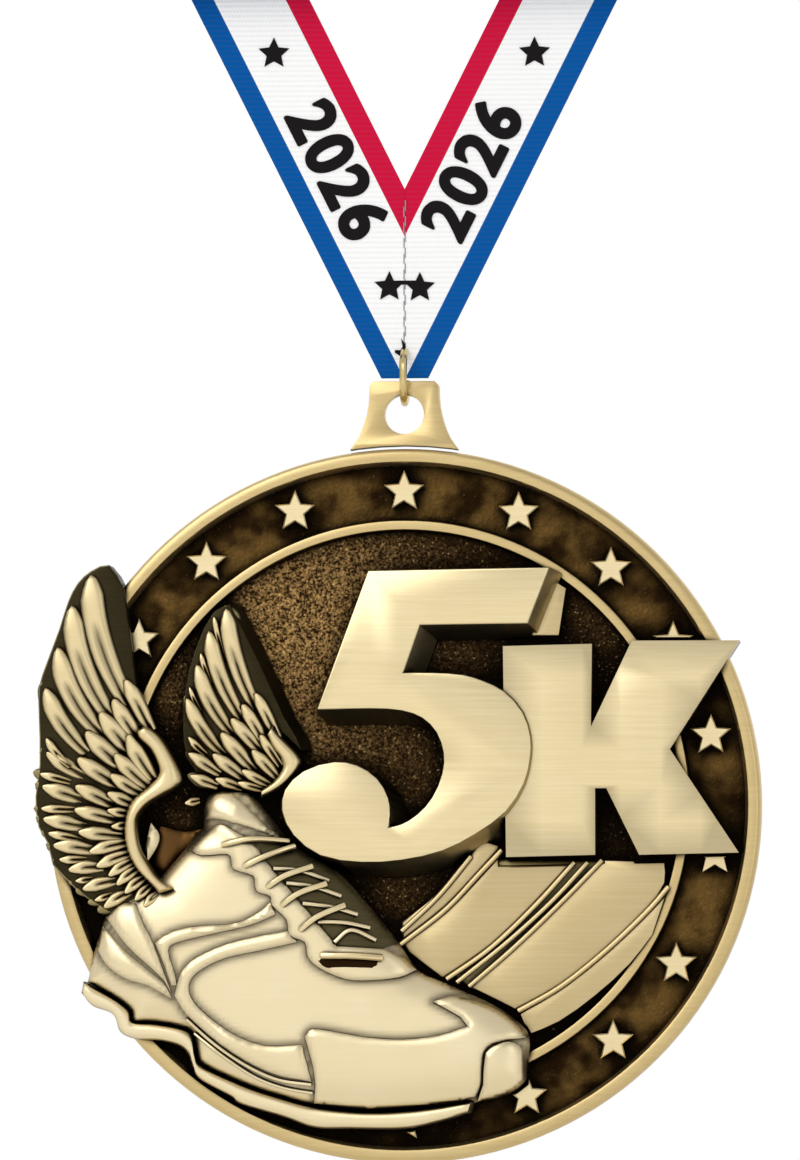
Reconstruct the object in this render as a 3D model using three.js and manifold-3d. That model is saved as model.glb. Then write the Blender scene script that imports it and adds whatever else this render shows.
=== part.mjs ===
// Sports finisher medal on a neck ribbon: a round die-cast medal with raised work, hung by a jump ring
// from a sewn V of grosgrain ribbon. Millimetres, +Z up, the face looks along -Y.
// Outlines are drawn as [x, z] pairs round the centre of the disc. The finished group is then lowered,
// so that the origin is in the middle of the folded ribbon that the medal hangs from.
import * as THREE from 'three';
import { mergeVertices } from 'three/addons/utils/BufferGeometryUtils.js';
import Module from 'manifold-3d';

const wasm = await Module();
wasm.setup();

// ---- driving dimensions -------------------------------------------------------------------------
const DISC_R = 35; // the medal is 70 mm across
const RIM_WIDTH = 1.4;
const RING_OUT_R = 28;
const RING_IN_R = 27;
const GAP = 0.3; // between pieces that touch
const BACK = 2.1; // depths along Y: the back face, then every height towards the viewer
const FIELD = 0.1;
const STAR_TOP = -1.0;
const RING_TOP = -1.0;
const RIM_TOP = -1.6;
const TRAIL_TOP = -1.4;
const FAR_WING_TOP = -1.8;
const K_TOP = -3.0;
const FIVE_TOP = -3.4;
const UPPER_TOP = -3.2;
const SOLE_TOP = -2.9;
const NEAR_WING_TOP = -2.8;
const LINING_TOP = -1.4;
const TRIM_STEP = 0.5; // how far a trim panel or a feather stands above what it lies on
const THIN_TRIM_STEP = 0.3; // the same for the tongue and the stripes
const LACE_STEP = 0.4;
const CUT_REACH = 10; // how far a cutting tool reaches to each side of the disc's middle plane
const DRAFT = 0.5; // how much wider the numeral and the letter are at the foot than at the face

// Degrees clockwise from the top. The right-hand stars lie a little lower than even spacing would put them.
const STAR_PLACES = [0, 21.4, 41.2, 58.9, 77.2, 99.1, 120.2, 138.4, 157.1, 180, -20.4, -39.2, -58];
const STAR_CIRCLE_R = 30.8;
const STAR_R = 2.1;
const STAR_WAIST = 0.45;

const TAB_HALF_DEPTH = 0.9;
const TAB_TOP = 41.65;
const EYE_Z = 38.4;
const EYE_R = 1.95;
const WIRE_R = 0.4;
const JUMP_RING_R = 2.5;
const JUMP_RING_Z = 42.1;

const RIBBON_WIDTH = 10.4;
const RIBBON_HALF_DEPTH = 0.35;
const RIBBON_LEAN = THREE.MathUtils.degToRad(26.6); // each strap off the vertical
const TIP_Z = 42.0;
const TIP_HALF_WIDTH = 2.3;
const EYELET_R = 0.85;
const HANK_Z = 86; // middle of the folded length
const HANK_LENGTH = 62;
const HANK_HALF_DEPTH = 3.9;
const BAND_WIDTH = 12;
const BAND_THICKNESS = 0.5;

// ---- outlines -----------------------------------------------------------------------------------
// A run of two points is straight; a longer one is a smooth curve through its points.
function curved(points) {
  if (points.length < 3) return points;
  const curve = new THREE.CatmullRomCurve3(points.map(([x, z]) => new THREE.Vector3(x, z, 0)), false, 'centripetal');
  return curve.getPoints((points.length - 1) * 2).map((p) => [p.x, p.y]);
}

function outline(...runs) {
  const all = runs.flatMap(curved);
  const apart = (a, b) => Math.hypot(a[0] - b[0], a[1] - b[1]) > 0.02;
  const kept = all.filter((p, i) => apart(p, all[(i + 1) % all.length]));
  const area = kept.reduce((sum, [x, z], i) => {
    const [nx, nz] = kept[(i + 1) % kept.length];
    return sum + x * nz - nx * z;
  }, 0);
  return area < 0 ? kept.reverse() : kept;
}

// The same outline moved outwards by a distance.
function grown(points, distance) {
  const count = points.length;
  return points.map(([x, z], i) => {
    const [px, pz] = points[(i + count - 1) % count];
    const [nx, nz] = points[(i + 1) % count];
    const before = new THREE.Vector2(z - pz, px - x).normalize();
    const after = new THREE.Vector2(nz - z, x - nx).normalize();
    const middle = before.clone().add(after).normalize();
    const reach = distance / Math.max(middle.dot(after), 0.5);
    return [x + middle.x * reach, z + middle.y * reach];
  });
}

function starOutline(cx, cz, radius) {
  return Array.from({ length: 10 }, (_, i) => {
    const angle = Math.PI / 2 + (i * Math.PI) / 5;
    const r = i % 2 ? radius * STAR_WAIST : radius;
    return [cx + r * Math.cos(angle), cz + r * Math.sin(angle)];
  });
}

// A feather is a slim leaf from its tip to its root.
function featherOutline([tipX, tipZ], [rootX, rootZ], width) {
  const along = new THREE.Vector2(rootX - tipX, rootZ - tipZ);
  const side = new THREE.Vector2(-along.y, along.x).normalize().multiplyScalar(width / 2);
  const at = (t, s) => [tipX + along.x * t + side.x * s, tipZ + along.y * t + side.y * s];
  const leftEdge = [at(0, 0), at(0.12, 0.7), at(0.45, 1), at(1, 0.75)];
  const rightEdge = [at(1, -0.75), at(0.45, -1), at(0.12, -0.7), at(0, 0)];
  return outline(leftEdge, rightEdge);
}

const FIVE = outline(
  [[-3.4, 22.9], [14.4, 23.2]],
  [[12.2, 17.7], [1.7, 17.6]],
  [[0, 12.9], [2.8, 12.9], [5.9, 12.7], [7.9, 12.1], [9.9, 11.1], [11.7, 9.1], [12.5, 6.7], [12.5, 4.7],
    [11.9, 2.1], [10.1, -0.7], [7.1, -2.9], [3.9, -4.5], [-0.1, -5.4], [-4.1, -5.6], [-8.1, -4.9],
    [-10.7, -2.9], [-11.8, -0.5], [-11.5, 1.5], [-9.7, 3.3], [-6.7, 4.2], [-4.5, 3.9], [-2.5, 2.6],
    [-1.4, 0.7], [-1.2, -0.9], [-1.4, -2.2]],
  [[-1.4, -2.2], [-0.1, -1.9], [1.5, -0.9], [2.9, 0.7], [3.9, 3.1], [4, 5.1], [3.3, 7.1], [1.9, 8.5],
    [-0.1, 9.2], [-3.1, 9.4], [-8.4, 9.3]],
);
const LETTER_K = outline(
  [[9.8, 15.5], [18.5, 15.7]], [[18.4, 7.6], [22.4, 16]], [[32.9, 16], [26.1, 5.4]],
  [[32.8, -4.7], [23.1, -4.9]], [[19.9, 1.6], [18.8, 1.6]], [[18.8, -4.9], [10.1, -5.1]],
);
const NEAR_WING = outline(
  [[-27.4, 21.2], [-28.9, 23.6], [-30.7, 23], [-32, 21.8], [-32.9, 20.1], [-33.8, 17.3], [-35, 14.1],
    [-35.8, 11.6], [-35.8, 9.1], [-35.7, 4], [-36.1, 0.9], [-35.8, -2.1], [-35, -3.5], [-34.4, -5.8]],
  [[-34.4, -5.8], [-32.2, -8.1], [-30.1, -9.7], [-27.7, -10.9], [-25.4, -10], [-23.9, -8.8]],
  [[-25.3, -6.8], [-26.4, -5.2], [-27.1, -3.3], [-27.2, -1.2], [-26.2, 0.6], [-24.4, 2.1], [-24, 3.3],
    [-26, 6.2], [-26.1, 10.4], [-26.6, 15.3], [-27.4, 21.2]],
);
const NEAR_BONE = outline(
  [[-25, 7.4], [-23.2, 5.9], [-21.7, 2.7], [-22.1, 1.9], [-23.2, 1.2], [-24.9, 0.2], [-25.9, -1],
    [-26, -2.3], [-25.7, -4.1], [-25, -5.5], [-23.9, -7.1], [-22.4, -8.2]],
  [[-23.8, -8.5], [-24.6, -7.7], [-26, -6.2], [-26.9, -4.4], [-27.2, -2.5], [-27, -0.8], [-26.4, 0.5],
    [-25.1, 1.6], [-24, 2.7], [-23.8, 3.6], [-25.9, 6.5]],
);
const FAR_WING = outline(
  [[-17.1, 19.7], [-18.6, 19], [-20.4, 15.3], [-21.4, 11.4], [-21.6, 7.4], [-21.3, 5], [-19.4, 1.9]],
  [[-17.8, 2.2], [-15.2, 2.1], [-12.9, 0.9]],
  [[-12.9, 0.9], [-11.4, 1.2], [-9.7, 4.4], [-11.7, 8.5], [-13.7, 12.9], [-15.6, 16.8], [-17.1, 19.7]],
);
const FAR_BONE = outline(
  [[-12.9, 7.6], [-10.4, 5.4], [-9.9, 3.9], [-11.6, 1.4]],
  [[-13.6, 1.4], [-11.9, 3.4], [-11.7, 4.6], [-13.8, 6.6]],
);
const SOLE = outline(
  [[-31.5, -17.2], [-28.5, -18.8], [-26.8, -20.1], [-26.4, -21.2], [-24.4, -21.3], [-21.7, -21.8],
    [-20.7, -22.5], [-20.3, -24.3], [-19.5, -25.5], [-15.5, -27.4], [-12.2, -28.5], [-8.7, -29.4],
    [-3.4, -29.9], [1.9, -29.6], [6.2, -29]],
  [[6.2, -30.1], [3.6, -30.9], [0.1, -31.6], [-5.2, -31.6], [-8.7, -31.5], [-11.6, -30.5],
    [-14.7, -29.5], [-16.8, -28.5], [-18.2, -27.5], [-19.9, -26.8], [-21.1, -24.3], [-22, -23.5],
    [-23.9, -23], [-26.4, -22.8], [-27.6, -22.3], [-27.8, -21.3], [-28.5, -20.4], [-30.5, -19.6],
    [-31.5, -18.3]],
);
const UPPER = outline(
  [[-26.9, -5.3], [-29.3, -11.4], [-30.1, -14.1], [-30.9, -16.6]],
  [[-28.5, -18.2], [-26.5, -19.5], [-26, -20.7], [-24.4, -20.7], [-21.5, -21.2], [-20.1, -22.2],
    [-19.7, -24.1], [-18.9, -25.2], [-15.5, -26.8], [-12.2, -27.9], [-8.7, -28.8], [-3.4, -29.3],
    [1.9, -29], [6.2, -28.4]],
  [[9.7, -28.4], [11.8, -27.1], [12.1, -25.6], [12.3, -22.6], [11.1, -21.1], [8.8, -19.5], [5.9, -18.2],
    [3.9, -17.3], [1.5, -16.2], [-0.1, -14], [-1.7, -11.9], [-6.4, -6.5], [-11.3, -3.4]],
  [[-15.2, 1.6], [-17.8, 1.6], [-19.6, 0]],
  [[-22.1, 0.6], [-24.9, -0.4], [-26.9, -5.3]],
);
const LINING = outline([[-23.6, -2.3], [-20, -2.4], [-19.6, -4.4]], [[-21.4, -4.6], [-23.2, -6.6]]);
const TOE_PANEL = outline(
  [[-9.4, -22.6], [-8.8, -21.9], [-6.9, -22.1], [-3.4, -22.7], [0.1, -22.9], [3.6, -22.5], [6.2, -21.6],
    [5.5, -20.7], [3.2, -19.5]],
  [[5.3, -19.1], [8.5, -20], [10.8, -21.4], [11.6, -22.7]],
  [[9.8, -22.6], [8.2, -23.2], [7.4, -24.2], [7.2, -25.6], [7.1, -27.1], [6.4, -28.1]],
  [[1.9, -28.7], [-3.4, -29], [-8.4, -28.6]],
  [[-8.4, -27.4], [-8.7, -25.6], [-9.4, -23.3]],
);
const TOE_BUMPER = outline(
  [[7.9, -24.4], [8.8, -23.6], [10.4, -23.1], [11.6, -23.8], [11.7, -25.6], [11.4, -26.9], [9.6, -28.1],
    [7.1, -28.1]],
  [[7.6, -27.3], [7.7, -25.6]],
);
const LACE_STAY = outline(
  [[-21, -4.3], [-19.7, -4.9], [-17.1, -4.8], [-16.7, -5.6], [-16.2, -6.3], [-14.8, -6.9],
    [-14.4, -7.8], [-14, -8.4], [-13, -8.9], [-12.6, -9.8], [-11.5, -11.2], [-10.9, -12.6],
    [-9.7, -13.4], [-9.1, -14.8], [-8, -15.8], [-5.5, -16.9], [-2.9, -17.1], [-0.3, -16.8], [1, -15.9]],
  [[-1.9, -14.4], [-6.5, -14.2]],
  [[-13.8, -5.4], [-16.5, -2.8], [-17.8, -2.3], [-21, -4.3]],
);
const TONGUE = outline(
  [[-6.3, -13.7], [-2.2, -14]],
  [[-2.4, -12.1], [-6.8, -7.1], [-11.3, -4.2], [-14.5, -2.6]],
  [[-15.9, -2.6], [-13.5, -4.9]],
);
const SIDE_STRIPE = outline(
  [[-21.2, -16.1], [-20.1, -14.9], [-17.2, -13.6], [-13.9, -12.8], [-11.9, -12.5]],
  [[-11, -13.6], [-13.9, -14.2], [-17.2, -14.9], [-19.4, -15.9], [-20.6, -16.9]],
);
const HEEL_STRIPE = outline(
  [[-23.9, -13.4], [-22, -12.3], [-19.6, -11.8], [-17.2, -11.7], [-15.5, -11.3], [-14.1, -10.6]],
  [[-13.5, -11.3], [-15.5, -12], [-18.7, -12.6], [-22, -13.4], [-23.3, -14.1]],
);
const TRAIL_OUTLINES = {
  trail_inner: outline([[7.6, -3.4], [4.4, -7.6], [-0.2, -11.4]], [[-0.2, -13.3], [4.1, -9.9], [7.4, -6.5],
    [9.5, -4]]),
  trail_middle: outline([[10, -4.2], [7.6, -6.8], [4.2, -10.3], [-0.4, -13.7]],
    [[3.8, -16.9], [8.6, -13.7], [13, -9.4], [16.5, -5.6]]),
  trail_outer: outline([[19.4, -5.4], [15.4, -9.4], [10.9, -13.7], [6.4, -17.7]],
    [[10.9, -19.9], [15.4, -17.5], [19.8, -14], [23.7, -10.3], [25.5, -7.6], [25.5, -5.6]]),
  trail_lower: outline([[25.6, -8.9], [23.4, -11.2], [20, -14.4], [15.6, -17.9], [11.4, -20.4]],
    [[12.2, -22.4], [15.2, -21.1], [18.7, -18.6], [22.1, -15.5], [24.3, -12.7]]),
  trail_top: outline([[12.8, 23.2], [15.9, 21.2]], [[15.2, 16.6], [12.6, 16.6]]),
};

const LACES = [
  [[-17.8, -3.8], [-11.1, -3.5]], [[-15.6, -6], [-11.1, -4.4]], [[-13.3, -8.1], [-9, -6.1]],
  [[-11.9, -9.9], [-7.4, -7.8]], [[-10.1, -12.4], [-5.4, -9.9]], [[-8.1, -14.8], [-1.6, -15]],
];
const LACE_WIDTH = 0.7;

// Feathers as [tip, root], the longest ones of each wing.
const NEAR_FEATHERS = [
  [[-30.5, 22.4], [-27.8, 11]], [[-32.4, 19.5], [-29.4, 9.6]], [[-33.8, 15.4], [-30.8, 7.9]],
  [[-35, 11.4], [-32.2, 5.6]],
];
const NEAR_FEATHER_WIDTH = 1.3;
const FAR_FEATHERS = [
  [[-17.5, 18.9], [-15.3, 10.2]], [[-18.9, 16.8], [-16.7, 9.1]], [[-20, 13.6], [-18, 7.4]],
  [[-21, 10.4], [-19.2, 5.5]],
];
const FAR_FEATHER_WIDTH = 1.0;

const TAB = outline(
  [[-3, TAB_TOP], [3, TAB_TOP]],
  [[3.4, 41.2], [3.5, 39.3], [3.9, 37.6], [4.5, 36.1], [5.3, 35]],
  [[5.3, 34], [-5.3, 34]],
  [[-5.3, 35], [-4.5, 36.1], [-3.9, 37.6], [-3.5, 39.3], [-3.4, 41.2]],
);

// ---- solids -------------------------------------------------------------------------------------
function toSolid(geometry) {
  const bare = geometry.index ? geometry.toNonIndexed() : geometry.clone();
  bare.deleteAttribute('normal');
  bare.deleteAttribute('uv');
  const merged = mergeVertices(bare, 1e-4);
  return new wasm.Manifold(new wasm.Mesh({
    numProp: 3,
    vertProperties: new Float32Array(merged.attributes.position.array),
    triVerts: new Uint32Array(merged.index.array),
  }));
}

function toGeometry(solid) {
  const { vertProperties, triVerts } = solid.getMesh();
  const geometry = new THREE.BufferGeometry();
  geometry.setAttribute('position', new THREE.BufferAttribute(new Float32Array(vertProperties), 3));
  geometry.setIndex(new THREE.BufferAttribute(new Uint32Array(triVerts), 1));
  geometry.computeVertexNormals();
  return geometry;
}

function shapeOf(points) {
  return new THREE.Shape(points.map(([x, z]) => new THREE.Vector2(x, z)));
}

// A plate with the given outline between two depths. footGrowth widens it at the back for the mould's draft.
function plate(points, front, back, footGrowth = 0) {
  const geometry = new THREE.ExtrudeGeometry(shapeOf(points), { depth: back - front, bevelEnabled: false });
  if (footGrowth) {
    const foot = new Map(points.map(([x, z], i) => [`${x.toFixed(3)},${z.toFixed(3)}`, i]));
    const wide = grown(points, footGrowth);
    const position = geometry.attributes.position;
    for (let i = 0; i < position.count; i += 1) {
      const key = `${position.getX(i).toFixed(3)},${position.getY(i).toFixed(3)}`;
      if (position.getZ(i) < 1e-6) position.setXY(i, ...wide[foot.get(key)]);
    }
  }
  geometry.rotateX(Math.PI / 2);
  geometry.translate(0, back, 0);
  return toSolid(geometry);
}

// A flat ring or disc round the Y axis.
function turned(innerR, outerR, front, back, segments = 96) {
  const profile = [[innerR, front], [outerR, front], [outerR, back], [innerR, back], [innerR, front]];
  const points = (innerR > 0 ? profile : profile.slice(0, 4)).map(([r, y]) => new THREE.Vector2(r, y));
  const geometry = new THREE.LatheGeometry(points, segments);
  const solid = toSolid(geometry);
  return solid.volume() < 0 ? toSolid(flipped(geometry)) : solid;
}

function flipped(geometry) {
  const bare = geometry.toNonIndexed();
  const position = bare.attributes.position;
  for (let i = 0; i < position.count; i += 3) {
    const first = [position.getX(i), position.getY(i), position.getZ(i)];
    position.setXYZ(i, position.getX(i + 1), position.getY(i + 1), position.getZ(i + 1));
    position.setXYZ(i + 1, ...first);
  }
  return bare;
}

const starSpots = STAR_PLACES.map((degrees) => {
  const angle = THREE.MathUtils.degToRad(degrees);
  return [STAR_CIRCLE_R * Math.sin(angle), STAR_CIRCLE_R * Math.cos(angle)];
});

// The space of everything that the raised work sits on, a gap wider all round.
function seatOfRaisedWork() {
  const fieldDisc = turned(0, DISC_R - 0.5, FIELD - GAP, BACK + 1);
  const rim = turned(DISC_R - RIM_WIDTH - GAP, DISC_R + GAP, RIM_TOP - GAP, BACK + 1);
  const ring = turned(RING_IN_R - GAP, RING_OUT_R + GAP, RING_TOP - GAP, BACK);
  const stars = starSpots.map(([x, z]) => plate(starOutline(x, z, STAR_R + 2 * GAP), STAR_TOP - GAP, BACK));
  return [rim, ring, ...stars].reduce((sum, next) => sum.add(next), fieldDisc);
}

const seat = seatOfRaisedWork();

// A raised feature is a plate that stands on the field, lies over the rim and keeps clear of what is in
// front of it.
function raised(points, top, inFront = [], footGrowth = 0) {
  let solid = plate(points, top, BACK, footGrowth).subtract(seat);
  for (const other of inFront) solid = solid.subtract(plate(grown(other, GAP), -CUT_REACH, CUT_REACH));
  return largestBody(solid);
}

function largestBody(solid) {
  return solid.decompose().reduce((best, next) => (next.volume() > best.volume() ? next : best));
}

function clearOf(solid, others) {
  const cutters = others.map((other) => plate(grown(other, GAP), -CUT_REACH, CUT_REACH));
  return largestBody(cutters.reduce((left, cutter) => left.subtract(cutter), solid));
}

// ---- finishes -----------------------------------------------------------------------------------
const gold = new THREE.MeshStandardMaterial({ color: '#d8c48c', roughness: 0.4, metalness: 1 });
const agedGold = new THREE.MeshStandardMaterial({ color: '#4a3214', roughness: 0.6, metalness: 1 });
const wire = new THREE.MeshStandardMaterial({ color: '#cdb87e', roughness: 0.25, metalness: 1 });
const whiteWeave = new THREE.MeshStandardMaterial({ color: '#f7f7f7', roughness: 0.9, metalness: 0 });
const paper = new THREE.MeshStandardMaterial({ color: '#ece7da', roughness: 0.85, metalness: 0 });

const medal = new THREE.Group();

function addPiece(name, solid, material) {
  const mesh = new THREE.Mesh(toGeometry(solid), material);
  mesh.name = name;
  medal.add(mesh);
}

// ---- disc, rim, ring, tab and stars -------------------------------------------------------------
addPiece('base_plate', turned(0, DISC_R - RIM_WIDTH - GAP, FIELD, BACK), agedGold);
addPiece('outer_rim', turned(DISC_R - RIM_WIDTH, DISC_R, RIM_TOP, BACK), gold);
addPiece('inner_ring', turned(RING_IN_R, RING_OUT_R, RING_TOP, FIELD - GAP), gold);

const eye = turned(0, EYE_R, -CUT_REACH, CUT_REACH, 32).translate(0, 0, EYE_Z);
const discCutter = turned(0, DISC_R + GAP, -CUT_REACH, CUT_REACH);
const tabPlate = plate(TAB, -TAB_HALF_DEPTH, TAB_HALF_DEPTH);
addPiece('hanging_tab', largestBody(tabPlate.subtract(eye).subtract(discCutter)), gold);

starSpots.forEach(([x, z], i) => {
  const covered = clearOf(plate(starOutline(x, z, STAR_R), STAR_TOP, FIELD - GAP), [LETTER_K, SOLE, UPPER]);
  addPiece(`star_${String(i + 1).padStart(2, '0')}`, covered, gold);
});

// ---- numeral and letter -------------------------------------------------------------------------
addPiece('numeral_five', raised(FIVE, FIVE_TOP, [], DRAFT), gold);
addPiece('letter_k', raised(LETTER_K, K_TOP, [grown(FIVE, DRAFT)], DRAFT), gold);

// ---- sweeping bands -----------------------------------------------------------------------------
for (const [name, points] of Object.entries(TRAIL_OUTLINES)) {
  const over = [grown(FIVE, DRAFT), grown(LETTER_K, DRAFT), UPPER];
  addPiece(name, raised(points, TRAIL_TOP, over), gold);
}

// ---- running shoe -------------------------------------------------------------------------------
const inFrontOfShoe = [NEAR_WING, NEAR_BONE];
addPiece('shoe_sole', raised(SOLE, SOLE_TOP, []), gold);
addPiece('shoe_upper', raised(UPPER, UPPER_TOP, [SOLE, LINING, ...inFrontOfShoe]), gold);
addPiece('shoe_lining', clearOf(plate(LINING, LINING_TOP, FIELD - GAP), inFrontOfShoe), agedGold);

function trim(name, points, top, step = TRIM_STEP) {
  addPiece(name, clearOf(plate(points, top - GAP - step, top - GAP), inFrontOfShoe), gold);
}

trim('shoe_toe_panel', TOE_PANEL, UPPER_TOP);
trim('shoe_toe_bumper', TOE_BUMPER, UPPER_TOP);
trim('shoe_lace_stay', LACE_STAY, UPPER_TOP);
trim('shoe_tongue', TONGUE, UPPER_TOP, THIN_TRIM_STEP);
trim('shoe_side_stripe', SIDE_STRIPE, UPPER_TOP, THIN_TRIM_STEP);
trim('shoe_heel_stripe', HEEL_STRIPE, UPPER_TOP, THIN_TRIM_STEP);
const laceTop = UPPER_TOP - GAP - TRIM_STEP;
LACES.forEach(([start, end], i) => {
  const lace = plate(featherOutline(start, end, LACE_WIDTH), laceTop - GAP - LACE_STEP, laceTop - GAP);
  addPiece(`shoe_lace_${i + 1}`, lace, gold);
});

// ---- wings --------------------------------------------------------------------------------------
const nearBlade = raised(NEAR_WING, NEAR_WING_TOP, [NEAR_BONE]);
addPiece('near_wing_blade', nearBlade, gold);
addPiece('near_wing_bone', raised(NEAR_BONE, NEAR_WING_TOP - 2 * TRIM_STEP), gold);
NEAR_FEATHERS.forEach(([tip, root], i) => {
  const leaf = featherOutline(tip, root, NEAR_FEATHER_WIDTH);
  addPiece(`near_wing_feather_${i + 1}`, plate(leaf, NEAR_WING_TOP - GAP - TRIM_STEP, NEAR_WING_TOP - GAP), gold);
});

const overFarWing = [grown(FIVE, DRAFT), UPPER, NEAR_WING, NEAR_BONE];
addPiece('far_wing_blade', raised(FAR_WING, FAR_WING_TOP, [FAR_BONE, ...overFarWing]), gold);
addPiece('far_wing_bone', raised(FAR_BONE, FAR_WING_TOP - TRIM_STEP, overFarWing), gold);
FAR_FEATHERS.forEach(([tip, root], i) => {
  const leaf = featherOutline(tip, root, FAR_FEATHER_WIDTH);
  addPiece(`far_wing_feather_${i + 1}`, plate(leaf, FAR_WING_TOP - GAP - TRIM_STEP, FAR_WING_TOP - GAP), gold);
});

// ---- jump ring ----------------------------------------------------------------------------------
const jumpRing = new THREE.TorusGeometry(JUMP_RING_R, WIRE_R, 10, 36);
jumpRing.rotateY(Math.PI / 2);
jumpRing.translate(0, 0, JUMP_RING_Z);
addPiece('jump_ring', toSolid(jumpRing), wire);

// ---- ribbon -------------------------------------------------------------------------------------
// One strap of the V, from the mitred tip to just under the folded length.
function strapOutline(side) {
  const lean = Math.tan(RIBBON_LEAN);
  const across = RIBBON_WIDTH / Math.cos(RIBBON_LEAN);
  const top = HANK_Z - RIBBON_WIDTH / 2 - GAP;
  const outerAt = (z) => TIP_HALF_WIDTH + (z - TIP_Z) * lean;
  const forkZ = TIP_Z + (across + GAP / 2 - TIP_HALF_WIDTH) / lean;
  return outline(
    [[side * TIP_HALF_WIDTH, TIP_Z], [side * outerAt(top), top]],
    [[side * (outerAt(top) - across), top], [side * GAP / 2, forkZ]],
    [[side * GAP / 2, TIP_Z], [side * TIP_HALF_WIDTH, TIP_Z]],
  );
}

const eyelet = turned(0, EYELET_R, -CUT_REACH, CUT_REACH, 24).translate(0, 0, JUMP_RING_Z + JUMP_RING_R);
for (const [name, side] of [['ribbon_left_strap', -1], ['ribbon_right_strap', 1]]) {
  const strap = plate(strapOutline(side), -RIBBON_HALF_DEPTH, RIBBON_HALF_DEPTH).subtract(eyelet);
  addPiece(name, strap, whiteWeave);
}

function block(halfX, halfY, halfZ) {
  return toSolid(new THREE.BoxGeometry(2 * halfX, 2 * halfY, 2 * halfZ)).translate(0, 0, HANK_Z);
}

addPiece('ribbon_folded_length', block(HANK_LENGTH / 2, HANK_HALF_DEPTH, RIBBON_WIDTH / 2), whiteWeave);
const bandWall = GAP + BAND_THICKNESS;
const bandOutside = block(BAND_WIDTH / 2, HANK_HALF_DEPTH + bandWall, RIBBON_WIDTH / 2 + bandWall);
const bandInside = block(BAND_WIDTH, HANK_HALF_DEPTH + GAP, RIBBON_WIDTH / 2 + GAP);
addPiece('ribbon_band', bandOutside.subtract(bandInside), paper);

medal.position.z = -HANK_Z;

export default medal;
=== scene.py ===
"""Looks of the sports finisher medal: antique gold relief, jump ring and folded neck ribbon.

Lengths are in millimetres round the centre of the disc, x to the right and z up, and y is depth with the
face towards -y. place() turns them into the frame's metres.
"""
import math

import bmesh
import bpy
from mathutils import Matrix, Vector, kdtree


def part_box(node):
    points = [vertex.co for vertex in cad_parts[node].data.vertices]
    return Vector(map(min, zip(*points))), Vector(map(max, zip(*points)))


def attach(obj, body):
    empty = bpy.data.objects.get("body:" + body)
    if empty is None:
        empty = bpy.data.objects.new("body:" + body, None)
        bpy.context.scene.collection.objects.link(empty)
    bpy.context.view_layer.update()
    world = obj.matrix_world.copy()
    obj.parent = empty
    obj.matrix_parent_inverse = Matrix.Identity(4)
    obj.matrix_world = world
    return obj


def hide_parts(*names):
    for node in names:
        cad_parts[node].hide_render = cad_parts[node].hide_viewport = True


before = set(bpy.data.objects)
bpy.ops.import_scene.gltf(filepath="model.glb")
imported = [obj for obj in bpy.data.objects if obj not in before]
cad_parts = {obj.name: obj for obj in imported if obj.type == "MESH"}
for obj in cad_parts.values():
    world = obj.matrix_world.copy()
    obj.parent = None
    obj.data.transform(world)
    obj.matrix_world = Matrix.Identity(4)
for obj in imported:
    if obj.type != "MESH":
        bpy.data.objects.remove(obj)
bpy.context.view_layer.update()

MM = 0.001
rim_low, rim_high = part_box("outer_rim")
CENTRE_Z = (rim_low.z + rim_high.z) / 2
DISC_R = (rim_high.x - rim_low.x) / 2 / MM
BACK = rim_high.y / MM
HIDDEN_FOOT = BACK - 0.5  # inside the disc, where what hangs over the rim keeps its thickness
RIM_WIDTH = 1.4
INNER_RING = (27.0, 28.0)  # its two radii
STAR_COUNT = 13
RIM_TOP = rim_low.y / MM
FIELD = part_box("base_plate")[0].y / MM
RING_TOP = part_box("inner_ring")[0].y / MM
TRAIL_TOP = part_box("trail_middle")[0].y / MM
K_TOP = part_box("letter_k")[0].y / MM
UPPER_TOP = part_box("shoe_upper")[0].y / MM
SOLE_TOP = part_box("shoe_sole")[0].y / MM
NEAR_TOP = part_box("near_wing_blade")[0].y / MM
FAR_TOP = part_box("far_wing_blade")[0].y / MM
HANK_LOW, HANK_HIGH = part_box("ribbon_folded_length")
RING_LOW, RING_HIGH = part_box("jump_ring")


def place(x, z, y=0.0):
    return Vector((x * MM, y * MM, CENTRE_Z + z * MM))


# ---- camera, light and floor --------------------------------------------------------------------
VIEW_HEIGHT = 113.7  # what the picture takes in at the medal
VIEW_CENTRE = (-0.4, 22.1)
CAMERA_AWAY = 900.0
CAMERA_TURN, CAMERA_DROP = math.radians(4.0), math.radians(-3.0)
SENSOR = 24.0
FLOOR_SIZE = 1.5
FLOOR_DROP = 0.060  # below the disc's centre, in metres


def make_camera():
    camera = bpy.data.objects.new("camera", bpy.data.cameras.new("camera"))
    bpy.context.scene.collection.objects.link(camera)
    target = place(*VIEW_CENTRE, -1.0)
    away = Vector((math.sin(CAMERA_TURN), -math.cos(CAMERA_TURN), math.tan(CAMERA_DROP))).normalized()
    camera.location = target + away * CAMERA_AWAY * MM
    camera.rotation_euler = (target - camera.location).to_track_quat("-Z", "Y").to_euler()
    camera.data.sensor_fit = "VERTICAL"
    camera.data.sensor_height = SENSOR
    camera.data.lens = SENSOR * CAMERA_AWAY / VIEW_HEIGHT
    camera.data.clip_end = 20.0
    bpy.context.scene.camera = camera


def area_light(name, place_mm, aim_mm, size_mm, watts):
    data = bpy.data.lights.new(name, "AREA")
    data.shape, data.size, data.size_y = "RECTANGLE", size_mm[0] * MM, size_mm[1] * MM
    data.energy = watts
    lamp = bpy.data.objects.new(name, data)
    bpy.context.scene.collection.objects.link(lamp)
    lamp.location = place(*place_mm)
    lamp.rotation_euler = (place(*aim_mm) - lamp.location).to_track_quat("-Z", "Y").to_euler()


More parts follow.
